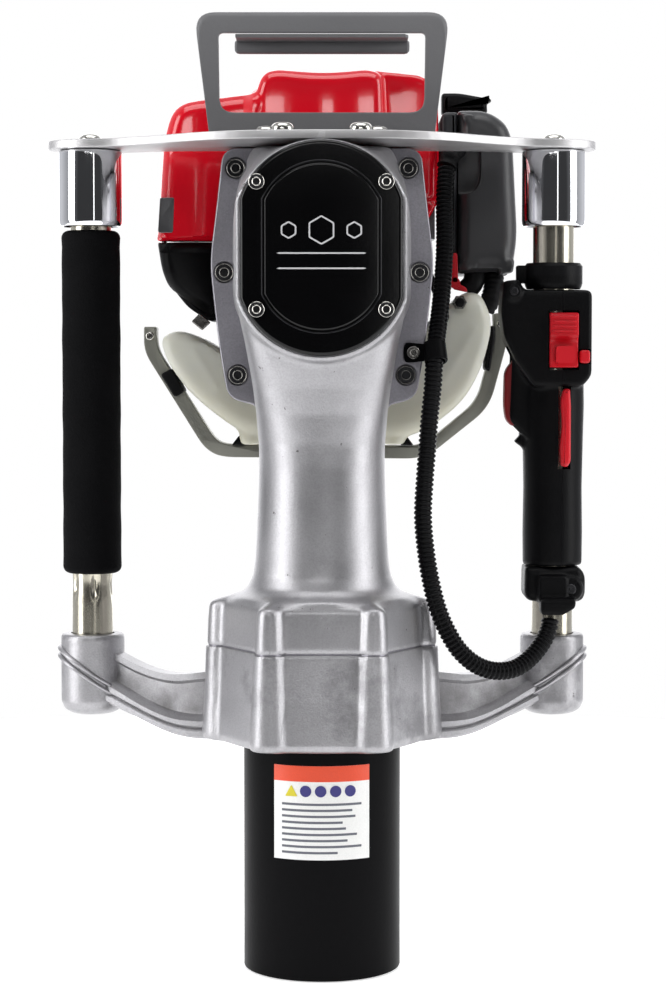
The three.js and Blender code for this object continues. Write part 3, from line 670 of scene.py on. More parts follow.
def along(path, radii, sides=20, upright=(0.0, 1.0, 0.0)):
    """Rings round a path: each is square to the path, its first spoke as near upright as can be."""
    forward = np.gradient(path, axis=0)
    forward /= np.linalg.norm(forward, axis=1, keepdims=True)
    across = np.cross(forward, np.array(upright))
    across /= np.linalg.norm(across, axis=1, keepdims=True)
    up = np.cross(across, forward)
    angle = full_turn(sides)[None, :, None]
    spokes = across[:, None] * np.cos(angle) + up[:, None] * np.sin(angle)
    return grid(path[:, None] + spokes * np.asarray(radii, float).reshape(-1, 1, 1))


def together(*shapes):
    """Several shapes as one list of corners and faces."""
    corners, faces, start = [], [], 0
    for points, polygons in shapes:
        corners.append(points)
        faces += [[start + k for k in polygon] for polygon in polygons]
        start += len(points)
    return np.vstack(corners), faces


def linked(name, data):
    """A new object in the scene that holds a mesh, a light or a camera."""
    made = bpy.data.objects.new(name, data)
    bpy.context.scene.collection.objects.link(made)
    return made


def raw_mesh(name, shape):
    """A plain object of the shape's corners and faces, welded, with its faces turned outwards."""
    points, faces = shape
    mesh = bpy.data.meshes.new(name)
    places = np.asarray(points, float) * MM + np.array([0.0, 0.0, RIM])
    mesh.from_pydata(places.tolist(), [], faces)
    work = bmesh.new()
    work.from_mesh(mesh)
    bmesh.ops.remove_doubles(work, verts=work.verts, dist=1e-6)
    bmesh.ops.dissolve_degenerate(work, edges=work.edges, dist=1e-7)
    bmesh.ops.recalc_face_normals(work, faces=work.faces)
    work.to_mesh(mesh)
    work.free()
    return linked(name, mesh)


def settle(made):
    """Applies the modifiers that a piece carries."""
    bpy.context.view_layer.update()
    shown = made.evaluated_get(bpy.context.evaluated_depsgraph_get())
    mesh = bpy.data.meshes.new_from_object(shown)
    made.modifiers.clear()
    made.data = mesh


def shifted(made, shift):
    """Moves every corner of a made piece by a function of its place in millimetres."""
    places = np.empty(len(made.data.vertices) * 3)
    made.data.vertices.foreach_get("co", places)
    points = (places.reshape(-1, 3) - [0.0, 0.0, RIM]) / MM
    made.data.vertices.foreach_set("co", (shift(points) * MM + [0.0, 0.0, RIM]).ravel())
    made.data.update()


def piece(name, shape, material, body="root", replaces=(), voxel=0.0, passes=0, cutters=(),
          sharp=32.0, shift=None):
    """Makes a finished piece: remeshed and eased if voxel is given, shifted, cut and shaded."""
    made = raw_mesh(name, shape)
    if voxel:
        remesh = made.modifiers.new("remesh", "REMESH")
        remesh.mode = "VOXEL"
        remesh.voxel_size = voxel
        remesh.adaptivity = 0.0
        ease = made.modifiers.new("ease", "SMOOTH")
        ease.factor = 0.5
        ease.iterations = passes
        settle(made)
    if shift:
        shifted(made, shift)
    tools = []
    for shape_to_cut in cutters:
        tool = raw_mesh(name + "_cutter", shape_to_cut)
        tools.append(tool)
        cut = made.modifiers.new("cut", "BOOLEAN")
        cut.operation = "DIFFERENCE"
        cut.solver = "EXACT"
        cut.object = tool
    if tools:
        settle(made)
        for tool in tools:
            bpy.data.objects.remove(tool)
    made.data.shade_smooth()
    made.data.set_sharp_from_angle(angle=math.radians(sharp))
    made.data.materials.clear()
    made.data.materials.append(MATERIALS[material])
    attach(made, body)
    if replaces:
        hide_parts(*replaces)
    return made


# The pieces --------------------------------------------------------------------

CONDUIT_ROUTE = [
    (78, 70, 489), (76.6, 62, 469), (76.3, 50, 440), (74.3, 38, 414), (71.7, 26, 393), (68.8, 14, 373),
    (67.4, 8, 353), (65.2, 4, 333), (63.6, 1, 313), (62.3, -1, 297), (61.1, -4, 274), (63, -9, 251),
    (65.9, -13, 234), (70, -14.5, 218.5), (75.8, -14, 205), (83.5, -12, 193), (94.2, -8, 184),
    (106.3, -2, 180), (118.3, 5, 181), (128.2, 12, 187), (136, 18, 196), (139.7, 20.8, 204),
    (140.5, 21.8, 209.4),
]


def build_conduit(sizes):
    """Corrugated sleeve: a tube whose radius rises and falls once for each rib."""
    pitch = sizes.conduit_pitch / MM
    outer = sizes.conduit_radius / MM
    depth = 0.95 * np.array([0.9, 0.25, 0.0, 0.0, 0.25, 0.9])
    _, length = smooth_path(CONDUIT_ROUTE, 50)
    ribs = int(length / pitch)
    path, length = smooth_path(CONDUIT_ROUTE, ribs * len(depth) + 1)
    radii = outer - depth[np.arange(len(path)) % len(depth)]
    made = piece("conduit", along(path, radii, 18), "conduit_plastic", "root", ["throttle_conduit"],
                 sharp=60)


def wrapped(flat, radius, low, high):
    """A flat outline (sideways, up) bent round the barrel's front as a thin leaf."""
    rows = []
    for reach in (radius + low, radius + high):
        turn = flat[:, 0] / radius
        rows.append(np.stack([reach * np.sin(turn), -reach * np.cos(turn), flat[:, 1]], -1))
    return grid(np.stack(rows))


def strips(x0, x1, z0, z1, radius, low, high, count=16):
    """A leaf between two angles, cut into upright strips so that it follows the barrel."""
    turn = np.linspace(x0, x1, count + 1) / radius
    rows = []
    for reach, z in ((low, z0), (high, z0), (high, z1), (low, z1)):
        reach += radius
        rows.append(np.stack([reach * np.sin(turn), -reach * np.cos(turn), np.full(count + 1, z)], -1))
    points, faces = grid(np.stack(rows), close_rows=True, close_columns=False, caps=False)
    width = count + 1
    ends = [[k * width for k in range(4)], [k * width + count for k in range(4)][::-1]]
    return points, faces + ends


LABEL_HALF = 30.0
LABEL_LOW = 73.0
LABEL_TOP = 129.0
LABEL_BAND = 9.4
LABEL_SPOTS = (-9.5, -0.6, 8.3, 17.2)
LABEL_LINES = (49.0, 43.0, 45.0, 37.0, 39.0, 46.0, 40.0, 49.0, 34.0)
LABEL_LEFT = -24.5
LINE_PITCH = 3.6


def build_label(outer):
    """A blank label on the barrel: paper, a header band, five marks and rules of plain ink."""
    leaf = strips(-LABEL_HALF, LABEL_HALF, LABEL_LOW, LABEL_TOP, outer, 0.05, 0.3)
    piece("blank_label", leaf, "label_paper", "root", sharp=50)
    band = strips(-LABEL_HALF, LABEL_HALF, LABEL_TOP - LABEL_BAND, LABEL_TOP, outer, 0.3, 0.36)
    piece("label_band", band, "label_red", "root", sharp=50)
    corner = full_turn(28)
    disc = np.stack([np.cos(corner), np.sin(corner)], -1) * 3.4
    spots = [wrapped(disc + [x, LABEL_TOP - 15.0], outer, 0.3, 0.5) for x in LABEL_SPOTS]
    piece("label_spots", together(*spots), "label_blue", "root", sharp=50)
    foot, tip = LABEL_TOP - 18.2, LABEL_TOP - 11.4
    mark = outline([(-22.2, foot, 0.6), (-14.4, foot, 0.6), (-18.3, tip, 0.6)], 48)
    piece("label_mark", wrapped(mark, outer, 0.3, 0.52), "label_yellow", "root", sharp=50)
    bars = []
    for row, width in enumerate(LABEL_LINES):
        drop = LINE_PITCH * row
        low, high = LABEL_TOP - 23.6 - drop, LABEL_TOP - 22.2 - drop
        bars.append(strips(LABEL_LEFT, LABEL_LEFT + width, low, high, outer, 0.3, 0.34))
    piece("label_bars", together(*bars), "label_ink", "root", sharp=50)


def build_barrel(sizes):
    """An open tube with a rounded rim, and the label on its front."""
    outer = sizes.barrel_radius / MM
    inner = outer - sizes.barrel_wall / MM
    rim = [
        (inner, 1.2), (inner + 0.8, 0.0), (outer - 1.0, 0.0), (outer - 0.3, 0.3), (outer, 1.0),
        (outer, 150.0), (outer, 190.0), (inner, 190.0), (inner, 150.0),
    ]
    piece("barrel_shell", turned(rim, sides=sizes.round_sides * 2, closed=True), "black_paint",
          "root", ["barrel"])
    build_label(outer)


def casting_plan(angle, grow=0.0):
    """Distance from the axis to the castings' outline: the farther of a wall, which is a hexagon
    with its corners taken off by a circle, and the six round bolt bosses at those corners."""
    ring, boss, wall, waist = 61.0, 8.7 + grow, 57.0 + grow, 62.6 + grow
    turn = np.mod(angle + math.pi / 6, math.pi / 3) - math.pi / 6
    spread = boss ** 2 - (ring * np.sin(turn)) ** 2
    column = np.where(spread > 0, ring * np.cos(turn) + np.sqrt(np.maximum(spread, 0.0)), 0.0)
    flat = wall / np.cos(math.pi / 6 - np.abs(turn))
    flat = 0.5 * (flat + waist - np.sqrt((flat - waist) ** 2 + 1.0))
    return 0.5 * (column + flat + np.sqrt((column - flat) ** 2 + 1.6))


def casting_rows(stations, sides=420):
    """Rows of (grow, height, roundness, radius): the casting plan eased towards a circle."""
    angle = full_turn(sides)
    rows = []
    for grow, height, roundness, radius in stations:
        reach = (1 - roundness) * casting_plan(angle, grow) + roundness * radius
        rows.append(stand(np.stack([reach * np.cos(angle), reach * np.sin(angle)], -1), height, "top"))
    return np.stack(rows)


def eased(values, width=9):
    """A running mean, with the ends repeated."""
    padded = np.pad(values, width // 2, mode="edge")
    return np.convolve(padded, np.full(width, 1.0 / width), mode="valid")


ARM_START = 52.0
ARM_LINES = (
    ((52, 10), (71, 13), (92, 22), (121, 35), (143.5, 45)),
    ((52, 181), (71, 178), (90, 175), (107, 178), (121, 184), (136, 191.5), (144, 194)),
    ((52, 149.5), (81, 149.5), (90, 150.5), (107, 157), (121, 165), (144, 176)),
    ((52, 137.8), (71, 137.8), (81, 138.2), (95, 142), (105, 146.8), (121, 153), (144, 163)),
)


def arm(side):
    """An I-section swept from the body to the boss: web, thin top flange, wide bottom rail with
    a groove along its face. ARM_LINES gives, against x, the sweep's middle in y, the web's top,
    the rail's top and the rail's foot."""
    x = np.linspace(ARM_START, HANDLE_X, 48)
    y, top, rail, low = (eased(np.interp(x, *zip(*line))) for line in ARM_LINES)
    way = np.stack([np.gradient(x), np.gradient(y)], 1)
    way /= np.linalg.norm(way, axis=1, keepdims=True)
    square = np.stack([-way[:, 1], way[:, 0]], 1)
    middle = (rail + low) / 2
    rows = [
        (-12, low + 1.5), (-10.5, low), (10.5, low), (12, low + 1.5), (12, rail - 1), (10, rail),
        (5, rail + 2.5), (3.6, rail + 6), (3.6, top - 6), (5.4, top - 4), (5.4, top), (-5.4, top),
        (-5.4, top - 4), (-3.6, top - 6), (-3.6, rail + 6), (-5, rail + 2.5), (-10, rail), (-12, rail - 1),
        (-12, middle + 1.6), (-10.3, middle), (-12, middle - 1.6),
    ]
    points = np.stack([
        np.stack([side * (x + square[:, 0] * out), y + square[:, 1] * out, np.broadcast_to(z, x.shape)], -1)
        for out, z in rows
    ], 1)
    return grid(points)


def side_boss(side):
    """The boss that holds a handle tube, and the two ridges that run round it at a slant."""
    centre = (side * HANDLE_X, HANDLE_Y)
    body = turned([
        (0, 148), (9, 148), (14, 149), (17.8, 151.5), (19.7, 156), (19.7, 196.8), (18.6, 198.4),
        (0, 198.4),
    ], centre)
    angle = full_turn(96)
    spin = full_turn(12)
    out = np.stack([np.cos(angle), np.sin(angle), 0 * angle], -1)[:, None]
    rise = np.array([0.0, 0.0, 1.0])
    beads = []
    for offset in (-2.3, 2.3):
        height = 173.0 + offset + 14.0 * np.cos(angle) * side
        flat = [centre[0] + 19.6 * np.cos(angle), centre[1] + 19.6 * np.sin(angle)]
        path = np.stack([*flat, height], -1)
        ring = path[:, None] + out * 2.3 * np.cos(spin)[None, :, None]
        beads.append(grid(ring + rise * (1.7 * np.sin(spin))[None, :, None], close_rows=True))
    return [body, *beads]


def build_lower_casting(sizes):
    """The open body with its tube bosses, the two arms, and the machined seam on its top."""
    rows = casting_rows([
        (0.0, 137.8, 0.5, 56.0), (2.6, 139.2, 0, 0), (3.4, 142.5, 0, 0), (1.7, 168.0, 0, 0),
        (0.7, 195.2, 0, 0), (0.4, 195.6, 0, 0), (0, 195.6, 1, 46.0), (0, 137.8, 1, 47.0),
    ])
    shapes = [grid(rows, close_rows=True)]
    bosses = [side_boss(side) for side in SIDES]
    shapes += [boss[0] for boss in bosses]
    drill = [(0, 171), (13.6, 171), (13.6, 200), (0, 200)]
    holes = [turned(drill, (side * HANDLE_X, HANDLE_Y)) for side in SIDES]
    piece("lower_casting_body", together(*shapes), "cast_stained", "root", ["lower_casting"],
          sizes.casting_voxel * 0.82, 2, [together(*holes)])
    rails = [arm(side) for side in SIDES] + [bead for boss in bosses for bead in boss[1:]]
    piece("casting_arms", together(*rails), "cast_aluminium", "root", ["lower_casting"], sharp=34)
    seam = casting_rows([
        (-0.9, 188.0, 0, 0), (-0.9, 203.0, 0, 0), (0, 203.0, 1, 46.0), (0, 188.0, 1, 46.0),
    ])
    # The seam takes the darker copy of the cast aluminium: painted shade.
    piece("casting_seam", grid(seam, close_rows=True), "cast_flange", "root", ["lower_casting"])


HEAD = both_sides([
    (0, 497), (42, 497, 5), (50.5, 476, 10), (54, 452, 12), (54, 402, 10), (46.5, 387, 8), (42.4, 368, 12),
    (39, 340, 8), (38, 322), (0, 322),
])
FLANGE = both_sides([
    (0, 497), (60.3, 497, 9), (63.6, 466, 14), (68.4, 428, 12), (63, 377, 20), (57.5, 345, 8),
    (40, 340.8, 4), (37, 322), (0, 322),
])
FLANGE_BOLTS = [(52.4, 485.0), (59.5, 421.8), (51.4, 359.3)]


def cover_outline(half_width, top, bottom, radius, count=240):
    """Two straight sides closed above and below by arcs of one radius."""
    reach = math.acos(min(1.0, half_width / radius))
    upper = np.linspace(reach, math.pi - reach, 60)
    arc = np.stack([radius * np.cos(upper), radius * np.sin(upper)], 1)
    high = arc + [0.0, top - radius]
    low = arc * [-1.0, -1.0] + [0.0, bottom + radius]
    return even(np.vstack([high, low]), count)


def rounded_plan(half, front, back, power, sides=160):
    """A superellipse between front and back: power 2 is a round, more is squarer."""
    angle = full_turn(sides)
    c, s = np.cos(angle), np.sin(angle)
    x = half * np.sign(c) * np.abs(c) ** (2.0 / power)
    y = (front + back) / 2 + (back - front) / 2 * np.sign(s) * np.abs(s) ** (2.0 / power)
    return np.stack([x, y], -1)


def from_top(curve):
    """The same closed curve, listed from its top middle towards +X."""
    start = int(np.argmin(np.hypot(curve[:, 0], curve[:, 1] - curve[:, 1].max())))
    curve = np.roll(curve, -start, 0)
    return curve if curve[10, 0] > 0 else np.roll(curve[::-1], 1, 0)


def flange_pockets(radius, depth):
    """Counterbores for the six flange bolts."""
    profile = [(0, -60), (radius, -60), (radius, depth), (0, depth)]
    return together(*(turned(profile, (side * x, z), "y", 48) for side in SIDES for x, z in FLANGE_BOLTS))


NECK = [
    (-0.2, 195.6, 0, 0), (0.0, 195.9, 0, 0), (-0.5, 210.0, 0, 0), (-1.2, 220.5, 0, 0),
    (-2.8, 223.0, 0, 0), (-5.0, 224.2, 0.25, 58.0), (0, 226.2, 0.8, 52.0), (0, 228.6, 1, 48.0),
    (0, 232.0, 1, 44.6), (0, 239.0, 1, 41.6), (0, 248.0, 1, 40.3), (0, 266.0, 1, 39.3),
    (0, 290.0, 1, 38.4), (0, 320.0, 1, 37.8), (0, 345.0, 1, 37.4), (0, 386.0, 1, 37.4),
]
THROAT = [
    (296, 37.6, -37.6, 37.6, 2.0), (318, 38.2, -38.6, 37.0, 2.1), (336, 39.6, -40.4, 34.0, 2.4),
    (352, 41.4, -43.6, 30.0, 2.8), (366, 43.6, -47.8, 26.0, 3.2), (380, 46.0, -50.6, 24.0, 3.8),
    (394, 49.0, -51.6, 20.0, 4.5), (410, 50.5, -51.4, 16.0, 5.0), (430, 50.0, -51.0, 14.0, 5.0),
]


def build_housing(sizes):
    """The cast neck, which turns from the hexagon to a round and then widens into the head, with
    its bolting flange, and the gear case behind."""
    neck = casting_rows(NECK)
    throat = np.stack([stand(rounded_plan(*plan), height, "top") for height, *plan in THROAT])
    rim = from_top(cover_outline(50.2, 497.0, 367.6, 53.0))
    back = from_top(outline(HEAD, 240))
    stations = [
        (-52.0, 0.0, 1.2), (-51.0, 0.0, 0.0), (-44.0, 0.05, -0.4), (-20.0, 0.5, 0.0), (-2.0, 0.92, 0.0),
        (5.0, 1.0, 0.0), (20.0, 1.0, 0.0),
    ]
    head = np.stack([
        stand(inset((1 - share) * rim + share * back, tight), y, "front") for y, share, tight in stations
    ])
    seat = slab(cover_outline(48.2, 496.4, 369.8, 51.0), -56.0, -51.2)
    piece("housing_body", together(grid(neck), grid(throat), grid(head)), "cast_aluminium",
          "root", ["drive_housing"], sizes.casting_voxel, 5, [flange_pockets(7.6, 14.0), seat])
    flange = slab(outline(FLANGE, 300), 16.0, 26.0, 1.1, 0.0)
    # The flange takes the darker copy of the cast aluminium: painted shade.
    piece("housing_flange", flange, "cast_flange", "root", ["drive_housing"],
          cutters=[flange_pockets(6.7, 18.6)])
    case = slab(inset(outline(FLANGE, 260), 0.4), 26.3, 60.0, 0.6, 7.0)
    upright = [(-1.6, 350), (1.6, 350), (1.6, 480), (-1.6, 480)]
    ribs = [slab(outline([(x + u, z) for u, z in upright], 40), 56, 63.5) for x in (-44, 44)]
    hollow = turned([(0, 300), (39, 300), (39, 386), (0, 386)])
    piece("gear_case_body", together(case, *ribs), "cast_aluminium", "root", ["gear_case"],
          sizes.casting_voxel, 4, [hollow])


COVER_SCREWS = [(side * 37.6, z) for side in SIDES for z in (471.4, 397.7)]


def bar_outline(half, middle, thick, edge, count):
    """A flat rounded bar across the cover at one height."""
    low, high = middle - thick, middle + thick
    return outline([(-half, low, edge), (half, low, edge), (half, high, edge), (-half, high, edge)], count)


def build_head_cover():
    """The gloss cover: a plate, a raised panel with a groove round it, four screws, and a plain
    emblem of three hexagons over two rules."""
    plate = slab(cover_outline(47.3, 496.0, 370.4, 50.0), -59.2, -52.3, 2.6, 0.6)
    panel = slab(cover_outline(33.2, 482.4, 385.4, 36.5), -60.3, -58.4, 1.3, 0.0)
    bead = cover_outline(33.9, 483.2, 384.6, 37.2)
    made = piece("cover_plate", together(plate, panel), "cover_gloss", "root", ["head_cover"])
    groove = frame_slab(inset(bead, -1.0), bead, -59.45, -58.9, 0.2)
    piece("cover_groove", groove, "black_oxide", "root")
    screws = [screw((x, -58.9, z), "-y", 4.2, 2.0, 2.1) for x, z in COVER_SCREWS]
    piece("cover_screws", together(*screws), "black_oxide", "root")
    # Bright nickel rings round each counterbore and socket: painted highlights on their edges.
    beads = [
        highlight_ring((x, depth, z), radius, 0.3) for x, z in COVER_SCREWS
        for radius, depth in ((4.3, -60.4), (2.35, -61.0))
    ]
    piece("cover_screw_edges", together(*beads), "nickel", "root")
    low, high = -60.45, -60.2
    marks = [slab(bar_outline(26, z, 0.45, 0.4, 60), low, high) for z in (421.4, 430.2)]
    corner = np.radians(np.arange(6) * 60.0 + 30.0)
    for reach, middle in ((8.6, 0.0), (5.2, -19.0), (5.2, 19.0)):
        across, up = middle + reach * np.cos(corner), 443.5 + reach * np.sin(corner)
        outer = outline([(u, v, 1.0) for u, v in zip(across, up)], 120)
        marks.append(frame_slab(outer, inset(outer, 0.9), low, high, 0.05))
    piece("cover_rules", together(*marks), "label_white", "root")


CLIP_SCREW = (55.6, 373.0)
CLIP_CENTRE = (69.0, 14.4, 373.0)
CLIP_LEAN = -0.42
CLIP_YAW = -0.1


def clip_band():
    """The clip's ring round the conduit, leaned about x and then turned about y."""
    profile = [(5.7, -6.2), (6.7, -6.2), (7.1, -5.6), (7.1, 5.6), (6.7, 6.2), (5.7, 6.2)]
    points, faces = turned(profile, sides=40, closed=True)
    x, y, z = points.T
    lean, yaw = CLIP_LEAN, CLIP_YAW
    y, z = y * math.cos(lean) - z * math.sin(lean), y * math.sin(lean) + z * math.cos(lean)
    x, z = x * math.cos(yaw) + z * math.sin(yaw), z * math.cos(yaw) - x * math.sin(yaw)
    return np.stack([x, y, z], 1) + CLIP_CENTRE, faces


def build_fittings():
    """The six flange bolts with bright rings as painted highlights on their edges, the conduit clip and the
    elbow boot.
    """
    places = [(side * x, z) for side in SIDES for x, z in FLANGE_BOLTS]
    bolts = [screw((x, 18.8, z), "-y", 5.6, 2.4, 2.5) for x, z in places]
    piece("flange_bolts", together(*bolts), "black_oxide", "root")
    # Bright rings round the counterbores, the sockets and the clip screw: painted highlights on their edges.
    beads = [
        highlight_ring((x, depth, z), radius, 0.34) for x, z in places
        for radius, depth in ((5.3, 16.5), (2.8, 16.3))
    ]
    screw_x, screw_z = CLIP_SCREW
    beads += [highlight_ring((screw_x, 9.8, screw_z), 2.1, 0.3)]
    piece("bolt_edges", together(*beads), "dark_nickel", "root")
    clip_screw = screw((screw_x, 12.2, screw_z), "-y", 3.9, 2.4, 1.9)
    piece("clip_screw", clip_screw, "dark_nickel", "root")
    tab = slab(outline([
        (55.6, 367, 6), (49.6, 367, 6), (49.6, 379, 6), (55.6, 379, 6), (63.6, 378, 1), (63.6, 368, 1),
    ], 90), 12.2, 14.4, 0.5, 0.2)
    piece("clip_band", together(clip_band(), tab), "black_paint", "root", ["conduit_clip"])
    boot, _ = smooth_path([(78.2, 70.4, 490), (80.6, 73.6, 497), (83.6, 77, 500.6), (85.6, 82.5, 502)], 40)
    radii = 5.9 + 0.5 * np.cos(np.linspace(0, 6 * math.pi, 40)) * np.linspace(1, 0.4, 40)
    piece("boot_elbow", along(boot, radii, 24, (1.0, 0.0, 0.0)), "rubber", "root", ["elbow_boot"], sharp=60)


PLATE = both_sides([
    (0, -43, 30), (60, -38, 40), (118, 13, 42), (150, 19, 10), (169, 33, 14), (169, 56, 14), (152, 71, 14),
    (128, 67, 14), (100, 52, 30), (60, 50, 20), (0, 50),
])


def build_top_plate():
    """The plate that ties the housing to the handle tubes, with its domed bolts."""
    sheet = slab(outline(PLATE, 420), PLATE_LOW, PLATE_TOP, 0.6, 0.6, "top", 3)
    piece("plate_sheet", sheet, "plate_metal", "root", ["top_plate"], sharp=40)
    buttons = [
        screw((side * x, y, PLATE_TOP), "+z", 7.2, 4.6, 2.3, 4.2, 8.8)
        for side in SIDES for x, y in ((23.2, -22.0), (33.8, 2.0))
    ]
    buttons += [screw((side * HANDLE_X, HANDLE_Y, 502.6), "+z", 7.6, 5.2, 2.4, 4.6) for side in SIDES]
    piece("plate_bolts", together(*buttons), "nickel", "root")


def starting_at(curve, x, z):
    """The same closed curve, listed from its point nearest to a place."""
    return np.roll(curve, -int(np.argmin(np.hypot(curve[:, 0] - x, curve[:, 1] - z))), 0)


def build_carry_handle():
    """An upright ring of sheet whose top edge rolls over into a roof, and a tongue with a rolled
    lip. The front edge's radius grows with height from a chamfer to the bend."""
    outer = outline([(-68.2, 503.3, 2), (68.2, 503.3, 2), (77.6, 579.0, 13), (-77.6, 579.0, 13)], 320)
    inner = outline([(-62, 518.3, 9), (62, 518.3, 9), (62.6, 566.2, 3), (-62.6, 566.2, 3)], 320)
    outer = starting_at(outer, -68, 503)
    inner = starting_at(inner, -62, 518)
    bend = 0.7 + 3.7 * np.clip((outer[:, 1] - 552.0) / 20.0, 0.0, 1.0) ** 2
    rows = []
    for turn in quarter_turn(7):
        edge = inset(outer, (bend * (1 - math.sin(turn)))[:, None])
        rows.append(stand(edge, 13.0 + bend * (1 - math.cos(turn)), "front"))
    rows += [stand(inset(outer, d), y, "front") for d, y in ((0.0, 16.9), (0.6, 17.5))]
    rows += [
        stand(inset(inner, -d), y, "front") for d, y in ((0.6, 17.5), (0.0, 16.9), (0.0, 13.6), (0.6, 13.0))
    ]
    sheet = grid(np.stack(rows), close_rows=True)
    roof = slab(outline([(-65, 17.2, 1), (65, 17.2, 1), (65, 34, 7), (-65, 34, 7)], 120),
                574.8, 579.0, 1.0, 1.0, "top")
    foot = slab(outline([(-58, 14, 1), (58, 14, 1), (58, 40, 5), (-58, 40, 5)], 100),
                503.2, 507.2, 0.6, 0.6, "top")
    shelf = box(-52.5, 52.5, 14.0, 38.5, 563.4, 565.6, 0.6)
    half = [(4.6, 50.5), (4.2, 52.4), (2.8, 53.6), (0, 53.8)]
    lip = turned([(radius, -x) for radius, x in half[::-1]] + half, (38.4, 561.0), "x", 40)
    piece("carry_frame", together(sheet, roof, foot, shelf, lip), "grey_powder_coat", "root",
          ["carry_handle"], sharp=30)


def neck_crimp(angle, height):
    """Five dents pressed into the tube at one height, and a slight waist there."""
    near = np.exp(-((height - 229.0) / 6.5) ** 2)
    return 1.0 - near * (0.05 + 0.17 * np.maximum(0.0, np.cos(angle * 5 + 0.5)) ** 3)


def build_handles(sizes):
    """Two tubes with chrome caps and rubber dampers at their tops, and the foam on the left."""
    tube_r = sizes.tube_radius / MM
    for side, label in ((-1, "left"), (1, "right")):
        build_tube(side, label, tube_r, sizes.cap_radius / MM)
    build_foam(tube_r, sizes.foam_radius / MM)


def build_tube(side, label, tube_r, cap_r):
    """One handle tube with its cap and damper; the left one is crimped below the foam."""
    centre = (side * HANDLE_X, HANDLE_Y)
    shank = [(tube_r - 2, 164), (tube_r, 164), (tube_r, 214)]
    crimp = None
    if side < 0:
        shank += [(tube_r, z) for z in np.arange(216.0, 238.0, 1.5)]
        crimp = neck_crimp
    shank += [(tube_r, 240), (tube_r, 493), (tube_r - 2, 493)]
    piece(f"{label}_shank", turned(shank, centre, sides=96, closed=True, wobble=crimp), "stainless_tube",
          "root", [f"{label}_tube"])
    cap = [
        (0, 497.7), (18.4, 497.7), (cap_r - 0.3, 497.2), (cap_r, 496), (cap_r, 455), (cap_r - 0.3, 452.6),
        (cap_r - 1.2, 451.2), (cap_r - 2.2, 451), (cap_r - 2.4, 452), (cap_r - 1.2, 455), (18.3, 494),
        (0, 494),
    ]
    piece(f"{label}_chrome_cap", turned(cap, centre, sides=96), "chrome", "root", [f"{label}_cap"])
    bore = tube_r + 0.3
    damper = [(bore, 454), (17.4, 453.4), (18.0, 455), (18.0, 492), (bore, 492)]
    piece(f"{label}_rubber_damper", turned(damper, centre, sides=48, closed=True), "rubber", "root")


def build_foam(tube_r, foam_r):
    """A padded sleeve with rounded ends, whose skin swells and sinks a little along its length."""
    round_end = 4.5
    low, high = 236, 448.5
    lower = [
        (foam_r - round_end * (1 - math.sin(a)), low + round_end * (1 - math.cos(a)))
        for a in quarter_turn(7)
    ]
    upper = [(radius, high - (z - low)) for radius, z in lower[::-1]]
    swell = [
        (foam_r - 0.18 + 0.18 * math.sin(z * 0.21) * math.cos(z * 0.057), z)
        for z in np.linspace(241.0, 443.5, 40)
    ]
    foam = [(tube_r + 0.2, low)] + lower + swell[1:-1] + upper + [(tube_r + 0.2, high)]
    made = piece("foam_sleeve", turned(foam, (-HANDLE_X, HANDLE_Y), sides=72, closed=True), "foam", "root",
                 ["foam_grip"], sharp=60)


GRIP = [
    (111.4, 417, 2), (109.8, 398, 4), (111.8, 382.8, 4), (120.5, 365, 6), (130, 352), (160, 352, 3),
    (165.8, 359, 3), (165.8, 411.6, 4), (124, 411.6, 2), (121, 418, 2),
]


GRIP_SCREWS = [(117.5, 410.6), (153.4, 227.4)]


def window(x0, x1, z0, z1, low, high):
    """A square-cornered opening or block, wide from x0 to x1, set out finely for its corners."""
    return slab(outline([(x0, z0), (x1, z0), (x1, z1), (x0, z1)], 400), low, high)


def tube_gap(sizes):
    """Inside of what is clamped round a handle tube."""
    return sizes.tube_radius / MM + 0.3


